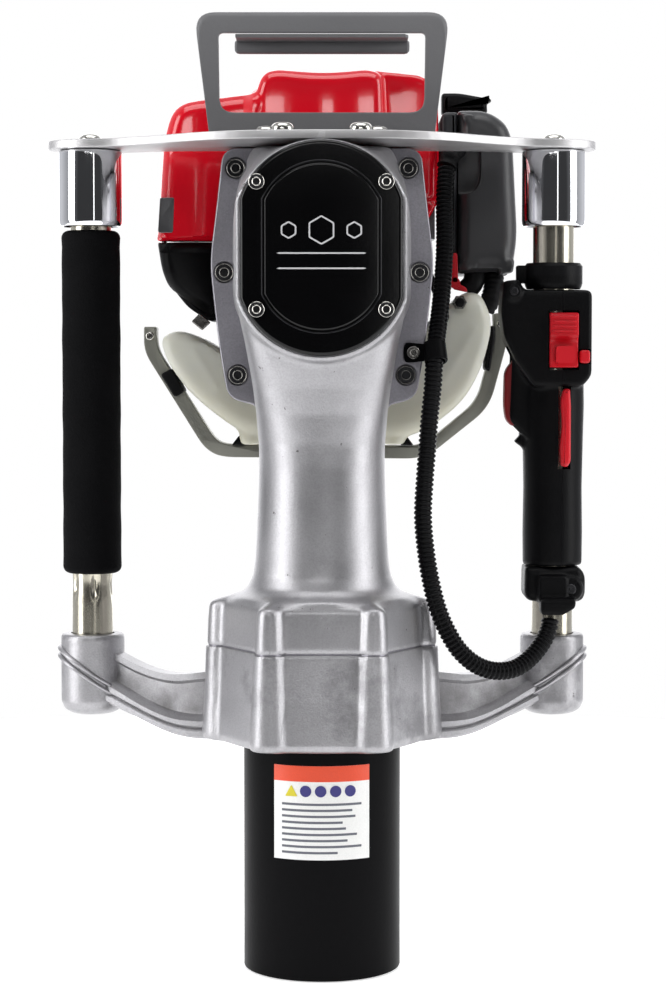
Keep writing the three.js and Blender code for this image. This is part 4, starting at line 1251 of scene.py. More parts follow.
def build_grip(sizes):
    """The two shells of the throttle grip, halved at their seam, its collar and its clamp."""
    centre = (HANDLE_X, HANDLE_Y)
    gap = tube_gap(sizes)
    (ear_x, ear_z), (foot_x, foot_z) = GRIP_SCREWS
    upper = slab(outline(GRIP, 160), 24.2, 63.0, 3.0, 5.0)
    lower = turned([
        (0, 241.2), (17.6, 241.2), (18.4, 242), (18.6, 262), (18.2, 290), (18.8, 320), (19.3, 340),
        (19.0, 360), (0, 360),
    ], centre)
    nose = slab(outline([(115.4, 331, 3), (128, 318, 3), (130, 372, 2), (117, 374, 4)], 80), 34.5, 56, 3, 3)
    barb = slab(outline([(119.2, 318, 0.6), (126, 313, 3), (128, 324, 1), (124, 323, 1)], 60), 40, 50, 1, 1)
    ear = turned([(0, 21.8), (4.4, 21.8), (5.2, 23), (5.2, 40), (0, 40)], (ear_x, ear_z), "y", 40)
    body = together(upper, lower, nose, barb, ear)
    bore = turned([(0, 225), (gap, 225), (gap, 425), (0, 425)], centre)
    trigger_slot = slab(outline([(100, 326), (132.4, 322), (132.4, 377), (100, 377)], 400), 36.0, 54.0)
    lever_slot = window(145.3, 153.2, 301.2, 352.4, 10, 33.4)
    switch_slot = window(138.8, 157.8, 362.4, 398.9, 10, 33.2)
    button_hole = window(157.2, 164.8, 366.0, 375.2, 10, 34)
    pockets = [bore, trigger_slot, lever_slot, switch_slot, button_hole]
    seam_gap = 0.1
    for label, low, high in (("inner", GRIP_SEAM - seam_gap, 190), ("outer", 90, GRIP_SEAM + seam_gap)):
        other_half = window(low, high, 225, 430, 0, 90)
        piece(f"grip_{label}_half", body, "black_plastic", "root", [f"grip_{label}_shell"],
              sizes.moulding_voxel, 3, pockets + [other_half])
    collar = turned([
        (gap, 412.4), (16.6, 412.4), (17.4, 414), (18, 416), (18, 426.4), (16.6, 428.4), (gap, 428.4),
    ], centre, closed=True)
    ears = box(120.4, 128, 40, 50, 416, 427, 1.0)
    piece("grip_collar_ring", together(collar, ears), "black_plastic", "root", ["grip_collar"])
    clamp = slab(outline([
        (125.4, 240.8, 1.5), (125.0, 222, 4), (129, 219.2, 3), (160, 219, 4), (162.8, 223, 4),
        (162.8, 236, 4), (159, 240.8, 2),
    ], 140), 27.0, 62.6, 4.5, 4.5)
    ear = turned([(0, 23.6), (6.4, 23.6), (7.8, 25), (8, 34), (0, 34)], (foot_x, foot_z), "y", 40)
    socket = slab(outline([
        (134, 212.4, 1.5), (147.4, 211.8, 1.5), (155.6, 216.6, 2), (156, 222, 1), (134, 222, 1),
    ], 80), 14.8, 31, 1.2, 1.0)
    bridge = box(133.5, 151, 22, 31, 219, 236, 1.2)
    piece("grip_clamp_block", together(clamp, ear, socket, bridge), "black_plastic", "root", ["grip_clamp"],
          sizes.moulding_voxel, 2, [turned([(0, 200), (gap, 200), (gap, 250), (0, 250)], centre)])
    screws = [
        screw((ear_x, 22.0, ear_z), "-y", 2.6, 1.0, 1.3), screw((foot_x, 23.8, foot_z), "-y", 3.2, 1.0, 1.5),
    ]
    piece("grip_screws", together(*screws), "black_oxide", "root")


def build_controls():
    """The trigger, the palm lever, the stop rocker and its lock button."""
    trigger = outline([
        (127, 371, 1), (120.5, 371, 2), (113.2, 362, 4), (112.7, 340, 6), (114, 331, 3), (118.5, 327, 2),
        (121, 331, 1), (120.5, 345, 3), (122, 358, 3), (127, 363, 1),
    ], 140)
    piece("trigger_blade", slab(trigger, 37.2, 52.8, 1.8, 1.8), "trigger_plastic", "throttle_trigger",
          ["throttle_trigger"])
    lever = outline([
        (148.2, 350.8, 1.5), (152.0, 350.8, 1.2), (152.6, 340, 3), (152.6, 306, 3), (150.4, 302.8, 1.5),
        (146.6, 303.4, 1.5), (146.0, 314, 3), (147.4, 330, 5), (146.2, 343, 3), (147.2, 348, 2),
    ], 120)
    piece("palm_lever", slab(lever, 19.7, 27.2, 2.2, 0.5), "red_switch", "lockout_lever", ["lockout_lever"])
    rocker = outline([
        (28.3, 363.6, 0.5), (22.2, 364.2, 1), (23.6, 380, 2), (20.2, 383, 1), (20.2, 397.2, 1.5),
        (28.3, 397.8, 0.5),
    ], 100)
    ridges = [box(141, 155.6, 19.4, 24, z, z + 1.2, 0.4) for z in (385.5, 388.5, 391.5, 394.5)]
    press = outline([(142.4, 366.6, 2), (154.2, 366.6, 2), (154.2, 377, 2), (142.4, 377, 2)], 60)
    piece("rocker_cap", together(slab(rocker, 139.5, 157.1, 0.9, 0.9, "side"), *ridges), "red_switch",
          "stop_rocker", ["stop_rocker"], cutters=[slab(press, 10, 23.9)])
    face = outline([(157.9, 366.6, 2), (164.1, 366.6, 2), (164.1, 374.6, 2), (157.9, 374.6, 2)], 60)
    stem = turned([(0, 22), (3.1, 22), (3.1, 28), (0, 28)], (161.0, 370.6), "y", 32)
    button = together(slab(face, 20.4, 24, 1.2, 0.3), stem)
    piece("button_cap", button, "red_switch", "lock_button", ["lock_button"])


COVER = [
    (-105.9, 444, 1), (-104.5, 452, 6), (-100.6, 511, 14), (-93.5, 531, 12), (-60, 536.5, 10),
    (-42.5, 539.5, 5), (-38.4, 549.5, 6), (-31, 553, 5), (0, 551.3, 30), (33, 553, 5), (42, 551.8, 5),
    (66, 549.5, 8), (73.6, 536, 8), (74.2, 500, 2), (74.2, 470, 2), (60, 444, 4), (-60, 444, 4),
]
COVER_LEFT = [
    (-105.9, 444, 1), (-104.5, 452, 6), (-100.6, 511, 14), (-93.5, 531, 12), (-60, 536.2, 10),
    (-36, 539, 5), (-36, 444, 3),
]
COVER_HUMP = [
    (-42.5, 500, 4), (-42.0, 539.5, 5), (-38.4, 549.5, 6), (-31, 553, 7), (0, 551.0, 40), (31, 553, 7),
    (38.6, 549, 6), (40.2, 500, 4),
]
COVER_LOW = [(-40, 470, 3), (-40, 512, 3), (72, 512, 3), (72, 470, 3)]
COVER_HOLLOW = [
    (-100, 440), (-98, 500, 6), (-88, 524, 6), (-36, 530, 6), (-30, 545, 4), (62, 542, 4), (68, 530, 4),
    (69, 440),
]
COVER_PANEL = [(46, 519, 3), (64, 518, 3), (65.5, 536, 4), (49, 540, 4)]
RIB_X = -86.0


def rib_bow(x):
    """How far the cover's front lies behind its upright rib: 0.013 (x - RIB_X)^2, at most 7."""
    return np.minimum(0.013 * (x - RIB_X) ** 2, 7.0)


def cover_bend(points):
    """Draws the cover's front back on both sides of the rib, hollows the hump's middle, and
    leans the top back."""
    x, y, z = points.T
    front = np.clip((112.0 - y) / 34.0, 0.0, 1.0)
    lobe = np.clip(-(x + 44.0) / 6.0, 0.0, 1.0) * rib_bow(x)
    saddle = np.clip((x + 44.0) / 6.0, 0.0, 1.0) * 5.0 * np.exp(-((x - 2.0) / 17.0) ** 2)
    lean = 0.15 * np.clip(z - 500.0, 0.0, 60.0)
    moved = points.copy()
    moved[:, 1] += front * (lobe + saddle + lean)
    return moved


def guard_bend(points):
    """Follows the red cover's bowed front, and tucks the lower edge under."""
    x, y, z = points.T
    front = np.clip((112.0 - y) / 30.0, 0.0, 1.0)
    moved = points.copy()
    moved[:, 1] += front * (rib_bow(x) + 0.35 * np.clip(424.0 - z, 0.0, 24.0))
    return moved


def build_red_cover(sizes):
    """The gloss cover with its hump, its louvred back, and the black shield under its left end."""
    shapes = [
        slab(outline(COVER, 420), 86.0, 175.0, 3.5, 3.0, steps=5),
        slab(outline(COVER_LEFT, 260), 74.6, 120.0, 9.0, 0.0, steps=7),
        slab(outline(COVER_HUMP, 240), 74.6, 120.0, 7.0, 0.0, steps=7),
        slab(outline(COVER_LOW, 100), 78.0, 120.0, 4.0, 0.0),
    ]
    cutters = [slab(outline(COVER_HOLLOW, 120), 92, 180), slab(outline(COVER_PANEL, 80), 70, 88.4)]
    piece("cover_shell", together(*shapes), "red_plastic", "root", ["top_cover"],
          sizes.casting_voxel, 4, cutters, shift=cover_bend)
    back = slab(inset(outline(COVER, 300), 3.4), 158.0, 168.0, 0.0, 1.5)
    louvre = [(-82, 0.0), (46, 0.0), (46, 3.4), (-82, 3.4)]
    louvres = [
        slab(outline([(x, z + up, 1.4) for x, up in louvre], 60), 166, 170.5, 0, 1.2)
        for z in np.arange(468.0, 524.0, 8.0)
    ]
    piece("cover_back", together(back, *louvres), "black_plastic", "root", ["top_cover"])
    tag = outline([(-104.0, 449, 1), (-94.5, 449, 1), (-93.2, 471, 1), (-102.6, 471, 1)], 60)
    piece("cover_tag", slab(tag, 75.4, 79.0, 0.3, 0), "tag_plate", "root")
    guard = slab(outline([
        (-105.2, 443.4, 1.5), (-102.4, 426, 5), (-98.2, 415, 5), (-88, 407.5, 5), (-70, 394.8, 3),
        (-64, 400, 2), (-62, 443.4, 1),
    ], 200), 78.5, 150, 7.0, 2.0, steps=7)
    lower = slab(outline([(-97, 416, 4), (-86, 402, 5), (-72, 393, 3), (-63, 396, 2), (-63, 418, 2)], 160),
                 84, 146, 3, 2)
    piece("muffler_shield", together(guard, lower), "black_plastic", "root", ["muffler_guard"],
          shift=guard_bend)
    block = outline([(-83.2, 393.0, 1), (-76.4, 387.4, 1), (-71.2, 392.4, 1), (-78.0, 398.2, 1)], 60)
    piece("guard_block", slab(block, 77, 86, 1, 0), "dark_nickel", "root")


FILTER = [
    (86.1, 527.4, 1), (106, 527.4, 16), (121.0, 516, 16), (124.6, 447, 10), (121.4, 426, 4),
    (86.1, 423.4, 1),
]


def build_air_filter(sizes):
    """The filter's case, its hinged cover with two clips and a pocket, and the two rubber ducts."""
    case = slab(outline([(75.4, 526, 5), (85.7, 526, 1), (85.7, 424, 1), (75.4, 424, 4)], 160),
                88, 152, 3, 3)
    piece("filter_case", case, "charcoal_plastic", "root", ["air_filter_case"])
    cover = slab(outline(FILTER, 240), 84.6, 154, 11.0, 5.0, steps=9)
    clip = outline([(112.6, 422.6, 1), (121.8, 424.4, 1), (122.6, 433, 1.5), (114, 431.6, 1.5)], 60)
    clips = [slab(clip, y, y + 12, 1, 1) for y in (87, 138)]
    band = slab(outline([
        (86.1, 428.6, 0.5), (121.6, 429.6, 0.5), (121.2, 427.2, 0.5), (86.1, 426.2, 0.5),
    ], 80), 86.4, 96, 0.6, 0)
    pocket = slab(outline([(80, 474, 1), (96, 474, 8), (101, 482, 8), (101, 506, 8), (80, 506, 1)], 120),
                  78, 92.5, 0, 2.5)
    piece("filter_cover", together(cover, band, *clips), "filter_plastic", "air_filter_cover",
          ["air_filter_cover"], sizes.moulding_voxel, 3, [pocket])
    duct, _ = smooth_path([(110, 104, 424), (110, 100, 416), (108, 97, 408), (104, 98, 401)], 30)
    elbow, _ = smooth_path([(98, 100, 425), (96.5, 98, 418), (92, 98, 413)], 20)
    ducts = together(
        along(duct, 6.4 + 0.3 * np.cos(np.arange(30) * 1.6), 24, (1.0, 0.0, 0.0)),
        along(elbow, np.full(20, 6.8), 24, (1.0, 0.0, 0.0)),
    )
    piece("breather_ducts", ducts, "rubber", "root", sharp=60)


CHOKE_AXIS = (84.0, 417.5)
PRIMER_AXIS = (87.0, 405.0)


def build_choke_and_primer():
    """The choke's hub with its two arms, and the primer's dome in its six-sided seat."""
    upper = outline([(82.0, 417.5, 1), (82.4, 436.4, 1.5), (85.4, 436.4, 1.5), (86.2, 417.5, 1)], 50)
    lower = outline([(82.6, 419, 1), (91.4, 414.4, 1.5), (92.2, 411.4, 1.5), (83, 413.4, 1)], 50)
    choke = together(
        turned([(0, 79), (3.4, 79), (3.5, 80), (3.5, 87.6), (0, 87.6)], CHOKE_AXIS, "y", 32),
        slab(upper, 79, 82, 0.5, 0.5), slab(lower, 79.4, 82, 0.5, 0.5),
    )
    piece("choke_tab", choke, "red_switch", "choke_lever", ["choke_lever"])
    dome = [(0, 73), (1.4, 73.2), (2.6, 74.2), (3.1, 76), (3.1, 80.4), (0, 80.4)]
    piece("primer_dome", turned(dome, PRIMER_AXIS, "y", 40), "rubber", "primer_bulb", ["primer_bulb"])
    seat = [(3.4, 75), (4.3, 75), (4.7, 76), (4.7, 83.8), (3.4, 83.8)]
    piece("primer_seat", turned(seat, PRIMER_AXIS, "y", 6, closed=True), "dark_nickel", "root")


TANK = [
    (-93, 388.5, 7), (-104.6, 383, 7), (-99, 366, 12), (-84.5, 346.5, 14), (-60, 327, 14), (-44, 318.8, 12),
    (0, 318, 20), (60, 318.8, 16), (90, 341, 16), (103, 365, 14), (109.2, 392, 10), (103, 410, 8),
    (92, 413.5, 8), (66, 392, 14), (50, 362, 14), (26, 352, 12), (-26, 352, 12), (-50, 362, 14),
    (-72, 381, 12),
]


TANK_RIBS = (
    [(-84, 375.4), (-81.6, 376.6), (-66, 351.4), (-68.4, 350.2)],
    [(99, 389.4), (96.6, 390.6), (74, 352.4), (76.4, 351.2)],
)
CAP_LOBES = 20


def cap_lobes(angle, height):
    """The finger lobes round the fuel cap: 1 + 0.018 cos(20 a), the same at every height."""
    return 1.0 + 0.018 * np.cos(angle * CAP_LOBES)


def build_tank():
    """The blown tank with two ribs and four feet, its lobed cap, and the line to the carburettor."""
    body = slab(outline(TANK, 400), 84.0, 149.6, 9.0, 9.0)
    ribs = [slab(outline(rib, 60), 82.8, 90) for rib in TANK_RIBS]
    foot = [(0, 314.2), (6.4, 314.2), (7.2, 315), (8.6, 326), (8.6, 334), (0, 334)]
    feet = [turned(foot, (side * 46.0, y), sides=40) for side in SIDES for y in (96.0, 132.0)]
    piece("tank_shell", together(body, *ribs, *feet), "tank_plastic", "root", ["fuel_tank"], 1.6 * MM, 18)
    cap = turned([
        (0, 164), (11.4, 164), (12.6, 163.4), (13, 162), (13, 151.2), (12.2, 150.4), (8, 150.4), (8, 142.6),
        (0, 142.6),
    ], (-80.0, 363.0), "y", 120, wobble=cap_lobes)
    piece("fuel_cap_knob", cap, "black_plastic", "fuel_cap", ["fuel_cap"])
    grommet = turned([(0, 80.6), (3.4, 80.6), (4.6, 82), (4.8, 90), (0, 90)], (76.0, 396.0), "y", 32)
    hose, _ = smooth_path([(76, 82, 396), (75, 76, 402), (72, 80, 412), (68, 92, 424), (62, 100, 440)], 60)
    line = together(grommet, along(hose, np.full(60, 2.4), 14, (1.0, 0.0, 0.0)))
    piece("fuel_line", line, "rubber", "root", sharp=60)


GUARD_OUTER = [
    (-115, 390, 0.5), (-115, 374, 8), (-76.4, 312, 8), (-66, 306, 10), (66, 305, 12), (107.5, 338, 12),
    (119.4, 382, 10), (118.2, 399, 0.5),
]
GUARD_INNER = [
    (110.2, 398.5, 0.5), (111, 383, 8), (100, 342, 10), (65, 313, 10), (-62, 314, 10), (-69.5, 317.4, 8),
    (-107, 376, 8), (-107, 390, 0.5),
]


PAD_LEFT = [(-95.2, 344.6, 2), (-104.2, 359.4, 2), (-97, 363.4, 2), (-88.6, 348.2, 2)]
PAD_RIGHT = [(107.4, 361, 2), (110.8, 383, 3), (110.2, 391, 2), (106.4, 390, 2), (104.4, 362.6, 2)]
PAD_FOOT = [(58.6, 313.9, 1.0), (50, 313.9, 1.0), (53.6, 320.4, 1.5)]


def build_guard():
    """The strap round the tank with its bracket, the rubber pads inside it, and two screws."""
    strap = slab(outline(GUARD_OUTER + GUARD_INNER, 500), 100.0, 122.0, 0.7, 0.7, steps=2)
    arms = [box(-18, 18, 76, 80, 301, 352, 1.0), box(-18, 18, 77, 122, 301, 305.4, 1.0)]
    piece("guard_strap", together(strap, *arms), "blasted_steel", "root", ["tank_guard"], sharp=35)
    pads = [slab(outline(pad, 80), 95, 127, 1.5, 1.5) for pad in (PAD_LEFT, PAD_RIGHT)]
    pads += [slab(outline([(side * x, z, r) for x, z, r in PAD_FOOT], 60), 96, 126, 1, 1) for side in SIDES]
    piece("guard_pads", together(*pads), "rubber", "root")
    screws = [screw((x, 99.4, z), "-y", 2.8, 1.6, 1.3, 1.0) for x, z in ((-111.0, 384.0), (114.6, 392.0))]
    piece("guard_screws", together(*screws), "nickel", "root")


CRANKCASE = [(40, 431, 6), (44, 400, 8), (34, 362, 12), (-34, 362, 12), (-44, 400, 8), (-40, 431, 6)]
CLUTCH_BELL = [
    (9, 60.6), (33, 60.6), (36, 62), (41, 69), (42, 71), (42, 87), (41, 88), (36, 88), (36, 73),
    (30, 64.5), (9, 64.5),
]


def build_engine():
    """The crankcase, the finned cylinder, the clutch bell with four lugs, and the plug's boot."""
    case = slab(outline(CRANKCASE, 200), 88.4, 150, 2.0, 2.0)
    lug = [(0, 86), (5, 86), (5.6, 87), (5.6, 120), (0, 120)]
    lugs = [turned(lug, (side * 34, z), "y", 32) for side in SIDES for z in (372, 424)]
    piece("crankcase_body", together(case, *lugs), "cast_aluminium", "root", ["crankcase"], 1.6 * MM, 3)
    core = box(-31, 31, 92, 146, 431.4, 498, 3.0)
    fins = [box(-37, 37, 86.2, 148, z, z + 2.2, 4.0) for z in range(436, 496, 7)]
    piece("cylinder_fins", together(core, *fins), "cast_aluminium", "root", ["cylinder_block"])
    bell = turned(CLUTCH_BELL, ENGINE_AXIS, "y", 96, closed=True)
    web = [(0, 62), (4.2, 62), (4.6, 63), (4.6, 87.6), (0, 87.6)]
    webs = [
        turned(web, (40.5 * math.cos(a), ENGINE_AXIS[1] + 40.5 * math.sin(a)), "y", 24)
        for a in np.radians([45, 135, 225, 315])
    ]
    piece("clutch_bell", together(bell, *webs), "cast_aluminium", "root", ["clutch_housing"])
    plug = [(0, 498.4), (5.4, 498.4), (5.4, 506), (6.8, 506), (6.8, 511), (0, 511)]
    boot = [(0, 509), (8.2, 510), (9, 514), (9, 526), (7.6, 530), (0, 530)]
    shapes = [turned(profile, PLUG_AXIS, sides=40) for profile in (plug, boot)]
    piece("plug_and_boot", together(*shapes), "rubber", "root", ["spark_plug"])


FAN_CASE = [
    (58, 502, 16), (66, 440, 14), (66, 366, 26), (40, 332, 20), (-40, 332, 20), (-66, 366, 26),
    (-66, 440, 14), (-58, 502, 16),
]
RECOIL_SHELL = [
    (0, 210.8), (16, 210.8), (18, 209.6), (38, 209.6), (41, 210.2), (50, 206), (54.6, 201), (57, 192),
    (57, 188.4), (54, 188.4), (51, 200), (38, 206.6), (0, 206.6),
]
RECOIL_SLOT = [(21, -1.9), (36.5, -3.1), (36.5, 3.1), (21, 1.9)]
STARTER_BAR = [
    (80.2, 534.8, 2), (80.2, 549.2, 2.5), (92, 549.3, 4), (113.8, 545.4, 1), (114, 543.4, 0.8),
    (111, 543.2, 1), (111.4, 535.6, 2),
]
ROPE_AXIS = (97.0, 199.5)


def rope_neck():
    """The hollow arm that carries the rope's outlet: a squared round swept upwards, whose
    outline is |cos a|^0.5, |sin a|^0.5 with the signs kept, closed by the same sweep lowered."""
    way = np.linspace(0.0, 1.0, 14)
    x = 54 + 43 * way
    y = 180 + 19 * way
    z = 476 + 40 * way ** 0.9
    half = 13 - way
    corner = full_turn(40)
    c, s = np.cos(corner), np.sin(corner)
    wide = np.sign(c) * np.abs(c) ** 0.5
    deep = np.sign(s) * np.abs(s) ** 0.5
    upper = np.stack([
        x[:, None] + half[:, None] * wide, y[:, None] + 8.5 * deep,
        z[:, None] + 10.0 - 0.22 * half[:, None] * wide,
    ], -1)
    lower = upper - [0.0, 0.0, 16.0]
    return grid(np.concatenate([upper, lower[::-1]]))


def turned_slot(angle):
    """One of the cooling slots in the recoil cover, turned about the engine's axis."""
    c, s = math.cos(angle), math.sin(angle)
    z = ENGINE_AXIS[1]
    return slab(outline([(u * c - v * s, z + u * s + v * c, 1.4) for u, v in RECOIL_SLOT], 40), 200, 216)


def build_recoil():
    """The fan case with the rope's arm, the slotted recoil cover, the pull handle and its bush."""
    shroud = slab(outline(FAN_CASE, 260), 150.4, 188, 2.0, 6.0)
    recess = turned([(0, 188.0), (57.6, 188.0), (57.6, 215), (0, 215)], ENGINE_AXIS, "y", 96)
    well = turned([(0, 153), (52, 153), (52, 200), (0, 200)], ENGINE_AXIS, "y", 72)
    piece("fan_case", together(shroud, rope_neck()), "charcoal_plastic", "root", ["fan_shroud"],
          1.6 * MM, 4, [recess, well])
    slots = [turned_slot(k * math.pi / 8) for k in range(16)]
    piece("recoil_shell", turned(RECOIL_SHELL, ENGINE_AXIS, "y", 128), "charcoal_plastic", "root",
          ["recoil_cover"], cutters=[together(*slots)])
    screws = [
        screw((61 * math.cos(a), 188.2, ENGINE_AXIS[1] + 52 * math.sin(a)), "+y", 3.4, 2.2, 1.5, 1.0)
        for a in np.radians([38, 142, 218, 322])
    ]
    piece("recoil_screws", together(*screws), "black_oxide", "root")
    bar = slab(outline(STARTER_BAR, 140), 191.5, 207.5, 4.0, 4.0)
    stem, _ = smooth_path([(*ROPE_AXIS, z) for z in (527.5, 532, 536)], 12)
    grip = together(bar, along(stem, np.linspace(4.2, 6.0, 12), 24))
    made = piece("starter_handle", grip, "black_plastic", "starter_grip", ["starter_grip"])
    bush = [(2.6, 522), (6.0, 522), (6.2, 526.6), (5.4, 527.2), (2.6, 527.2)]
    piece("rope_bush", turned(bush, ROPE_AXIS, sides=40, closed=True), "nickel", "root")


# Stage --------------------------------------------------------------------------

AIM = (0.0, 0.04, 0.15)
SOFTBOXES = (
    ("left", (-1.35, -0.45, 0.45), 0.6, 1.9, 1.2),
    ("right", (1.35, -0.35, 0.45), 0.6, 1.9, 1.0),
    ("top", (0.0, -0.2, 1.9), 1.6, 1.0, 1.0),
    ("front", (-0.2, -2.3, 1.35), 1.1, 0.4, 0.55),
    ("strip", (0.46, -1.9, 0.4), 0.12, 1.6, 0.08),
    ("back", (0.0, 1.9, 0.7), 2.6, 1.8, 1.6),
)
FLOOR_SIDES = 96
FLOOR_DROP = 0.0005
SENSOR_WIDTH = 36.0


def softbox(name, place, width, height, power):
    """A rectangular light that faces the driver and that the camera doesn't see."""
    light = bpy.data.lights.new(name, "AREA")
    light.shape = "RECTANGLE"
    light.size = width
    light.size_y = height
    light.energy = power
    lamp = linked(name, light)
    lamp.location = place
    lamp.visible_camera = False
    lamp.rotation_euler = (Vector(AIM) - Vector(place)).to_track_quat("-Z", "Y").to_euler()


def build_floor(radius):
    """A pale round floor, a hair under the rim."""
    ring = full_turn(FLOOR_SIDES)
    level = np.full(FLOOR_SIDES, RIM - FLOOR_DROP)
    points = np.stack([np.cos(ring) * radius, np.sin(ring) * radius, level], 1)
    mesh = bpy.data.meshes.new("floor")
    mesh.from_pydata(points.tolist(), [], [list(range(FLOOR_SIDES))])
    mesh.materials.append(stage_paper("stage_paper", 0.86))
    linked("floor", mesh)


def build_world(room_light, wall_light):
    """White to the camera. To everything else it is a dim room, from room_light in front
    (-Y) to wall_light behind (+Y), so that faces turned to the camera reflect little and faces
    turned aside reflect the softboxes."""
    world = bpy.data.worlds.new("studio")
    world.use_nodes = True
    nodes = world.node_tree.nodes
    link = world.node_tree.links.new
    dim = nodes["Background"]
    dim.inputs["Color"].default_value = (0.95, 0.96, 1.0, 1.0)
    white = nodes.new("ShaderNodeBackground")
    white.inputs["Color"].default_value = (1.0, 1.0, 1.0, 1.0)
    way = nodes.new("ShaderNodeSeparateXYZ")
    link(nodes.new("ShaderNodeTexCoord").outputs["Generated"], way.inputs[0])
    strength = nodes.new("ShaderNodeMapRange")
    link(way.outputs["Y"], strength.inputs["Value"])
    ends = {"From Min": -0.75, "From Max": 0.55, "To Min": room_light, "To Max": wall_light}
    for name, value in ends.items():
        strength.inputs[name].default_value = value
    link(strength.outputs["Result"], dim.inputs["Strength"])
    either = nodes.new("ShaderNodeMixShader")
    link(nodes.new("ShaderNodeLightPath").outputs["Is Camera Ray"], either.inputs[0])
    link(dim.outputs[0], either.inputs[1])
    link(white.outputs[0], either.inputs[2])
    link(either.outputs[0], nodes["World Output"].inputs["Surface"])
    bpy.context.scene.world = world


def build_camera(stage):
    """The camera stands in front of the driver and looks a little down."""
    camera = bpy.data.cameras.new("camera")
    camera.lens = stage.lens
    camera.sensor_width = SENSOR_WIDTH
    camera.sensor_fit = "AUTO"
    camera.clip_end = 50.0
    holder = linked("camera", camera)
    holder.location = (stage.side, -stage.distance, stage.height + RIM)
    holder.rotation_euler = (math.pi / 2 - stage.pitch, 0.0, 0.0)
    bpy.context.scene.camera = holder


def build_stage(stage):
    """The floor, the soft lights, the surroundings and the camera."""
    build_floor(stage.floor_radius)
    for name, place, width, height, share in SOFTBOXES:
        softbox("softbox_" + name, place, width, height, stage.key_power * share)
    build_world(stage.room_light, stage.wall_light)
    bpy.context.scene.view_settings.view_transform = "Standard"
    build_camera(stage)


# Operators -----------------------------------------------------------------------

class BuildStage(bpy.types.Operator):
    """Sets the floor, the lights and the camera"""
    bl_idname = "post_driver.stage"
    bl_label = "Stage"

    def execute(self, context):
        build_stage(context.scene.post_driver.stage)
        return {"FINISHED"}


class BuildMaterials(bpy.types.Operator):
    """Makes every finish and puts it on the frame's own pieces"""
    bl_idname = "post_driver.materials"
    bl_label = "Finishes"

    def execute(self, context):
        build_materials(context.scene.post_driver.colours)
        finish_frame()
        return {"FINISHED"}


class BuildConduit(bpy.types.Operator):
    """Makes the corrugated throttle conduit"""
    bl_idname = "post_driver.conduit"
    bl_label = "Throttle conduit"

    def execute(self, context):
        build_conduit(context.scene.post_driver.sizes)
        return {"FINISHED"}


class BuildBarrel(bpy.types.Operator):
    """Makes the post barrel and its blank label"""
    bl_idname = "post_driver.barrel"
    bl_label = "Barrel"

    def execute(self, context):
        build_barrel(context.scene.post_driver.sizes)
        return {"FINISHED"}


class BuildLowerCasting(bpy.types.Operator):
    """Makes the lower casting with its arms and bosses"""
    bl_idname = "post_driver.lower_casting"
    bl_label = "Lower casting"

    def execute(self, context):
        build_lower_casting(context.scene.post_driver.sizes)
        return {"FINISHED"}


class BuildHousing(bpy.types.Operator):
    """Makes the drive housing and the gear case"""
    bl_idname = "post_driver.housing"
    bl_label = "Drive housing"

    def execute(self, context):
        build_housing(context.scene.post_driver.sizes)
        return {"FINISHED"}


class BuildHeadCover(bpy.types.Operator):
    """Makes the black head cover with its screws"""
    bl_idname = "post_driver.head_cover"
    bl_label = "Head cover"

    def execute(self, context):
        build_head_cover()
        return {"FINISHED"}


class BuildFittings(bpy.types.Operator):
    """Makes the flange bolts, the conduit clip and the elbow boot"""
    bl_idname = "post_driver.fittings"
    bl_label = "Bolts and clip"

    def execute(self, context):
        build_fittings()
        return {"FINISHED"}


class BuildTopPlate(bpy.types.Operator):
    """Makes the top plate and its button bolts"""
    bl_idname = "post_driver.top_plate"
    bl_label = "Top plate"

    def execute(self, context):
        build_top_plate()
        return {"FINISHED"}


class BuildCarryHandle(bpy.types.Operator):
    """Makes the bent sheet carry handle"""
    bl_idname = "post_driver.carry_handle"
    bl_label = "Carry handle"

    def execute(self, context):
        build_carry_handle()
        return {"FINISHED"}


class BuildHandles(bpy.types.Operator):
    """Makes the tubes, chrome caps, dampers and the foam grip"""
    bl_idname = "post_driver.handles"
    bl_label = "Handles"

    def execute(self, context):
        build_handles(context.scene.post_driver.sizes)
        return {"FINISHED"}


class BuildGrip(bpy.types.Operator):
    """Makes the throttle grip's shells, collar and clamp"""
    bl_idname = "post_driver.grip"
    bl_label = "Throttle grip"

    def execute(self, context):
        build_grip(context.scene.post_driver.sizes)
        return {"FINISHED"}


class BuildControls(bpy.types.Operator):
    """Makes the trigger, palm lever, stop rocker and button"""
    bl_idname = "post_driver.controls"
    bl_label = "Controls"

    def execute(self, context):
        build_controls()
        build_choke_and_primer()
        return {"FINISHED"}


class BuildRedCover(bpy.types.Operator):
    """Makes the red engine cover and the muffler shield"""
    bl_idname = "post_driver.red_cover"
    bl_label = "Engine cover"

    def execute(self, context):
        build_red_cover(context.scene.post_driver.sizes)
        return {"FINISHED"}


class BuildAirFilter(bpy.types.Operator):
    """Makes the air filter case, its cover and the breather"""
    bl_idname = "post_driver.air_filter"
    bl_label = "Air filter"

    def execute(self, context):
        build_air_filter(context.scene.post_driver.sizes)
        return {"FINISHED"}


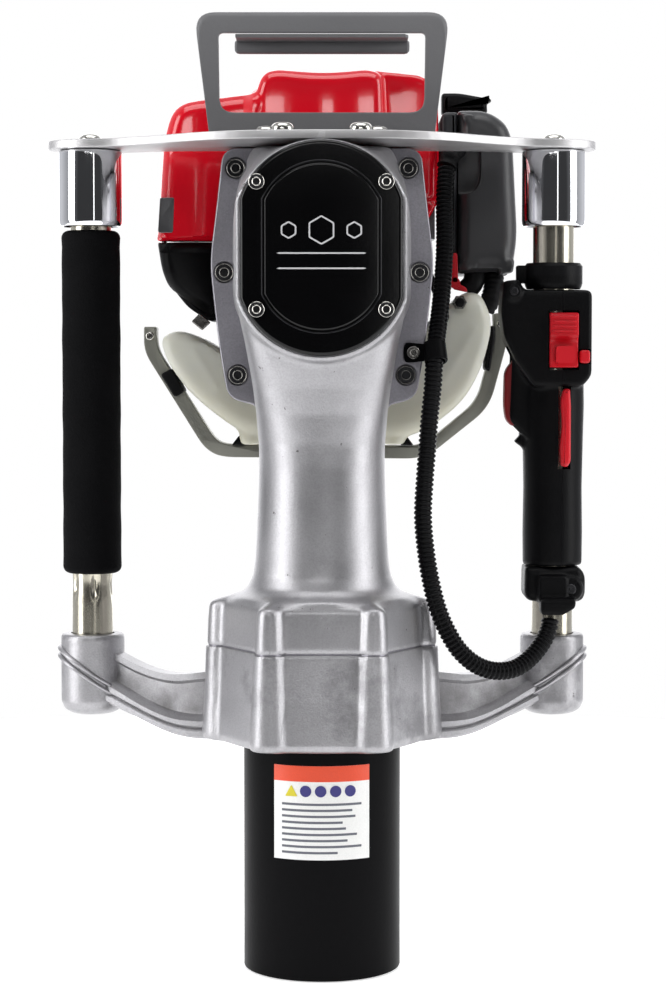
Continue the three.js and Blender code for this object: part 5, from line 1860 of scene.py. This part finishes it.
class BuildTank(bpy.types.Operator):
    """Makes the fuel tank, its cap and the fuel line"""
    bl_idname = "post_driver.tank"
    bl_label = "Fuel tank"

    def execute(self, context):
        build_tank()
        return {"FINISHED"}


class BuildGuard(bpy.types.Operator):
    """Makes the tank guard strap and its rubber pads"""
    bl_idname = "post_driver.guard"
    bl_label = "Tank guard"

    def execute(self, context):
        build_guard()
        return {"FINISHED"}


class BuildEngine(bpy.types.Operator):
    """Makes the crankcase, the cylinder and the clutch bell"""
    bl_idname = "post_driver.engine"
    bl_label = "Engine"

    def execute(self, context):
        build_engine()
        return {"FINISHED"}


class BuildRecoil(bpy.types.Operator):
    """Makes the fan case, the recoil cover and the starter handle"""
    bl_idname = "post_driver.recoil"
    bl_label = "Recoil starter"

    def execute(self, context):
        build_recoil()
        return {"FINISHED"}


STEPS = (
    BuildStage, BuildMaterials, BuildConduit, BuildBarrel, BuildLowerCasting, BuildHousing, BuildHeadCover,
    BuildFittings, BuildTopPlate, BuildCarryHandle, BuildHandles, BuildGrip, BuildControls, BuildRedCover,
    BuildAirFilter, BuildTank, BuildGuard, BuildEngine, BuildRecoil,
)


class DriverPanel(bpy.types.Panel):
    """Lists the driver's pieces in the sidebar"""
    bl_idname = "VIEW3D_PT_post_driver"
    bl_label = "Post Driver"
    bl_space_type = "VIEW_3D"
    bl_region_type = "UI"
    bl_category = "Post Driver"

    def draw(self, context):
        for step in STEPS:
            self.layout.operator(step.bl_idname)
        settings = context.scene.post_driver
        for group in (settings.sizes, settings.colours, settings.stage):
            for key in group.bl_rna.properties.keys():
                if key not in ("rna_type", "name"):
                    self.layout.prop(group, key)


CLASSES = (DriverSizes, DriverColours, DriverStage, DriverSettings, *STEPS, DriverPanel)


def register():
    for entry in CLASSES:
        bpy.utils.register_class(entry)
    bpy.types.Scene.post_driver = PointerProperty(type=DriverSettings)


def unregister():
    del bpy.types.Scene.post_driver
    for entry in reversed(CLASSES):
        bpy.utils.unregister_class(entry)


def main():
    """Registers the add-on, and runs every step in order."""
    register()
    for step in STEPS:
        space, action = step.bl_idname.split(".")
        getattr(getattr(bpy.ops, space), action)()


if __name__ == "__main__":
    main()
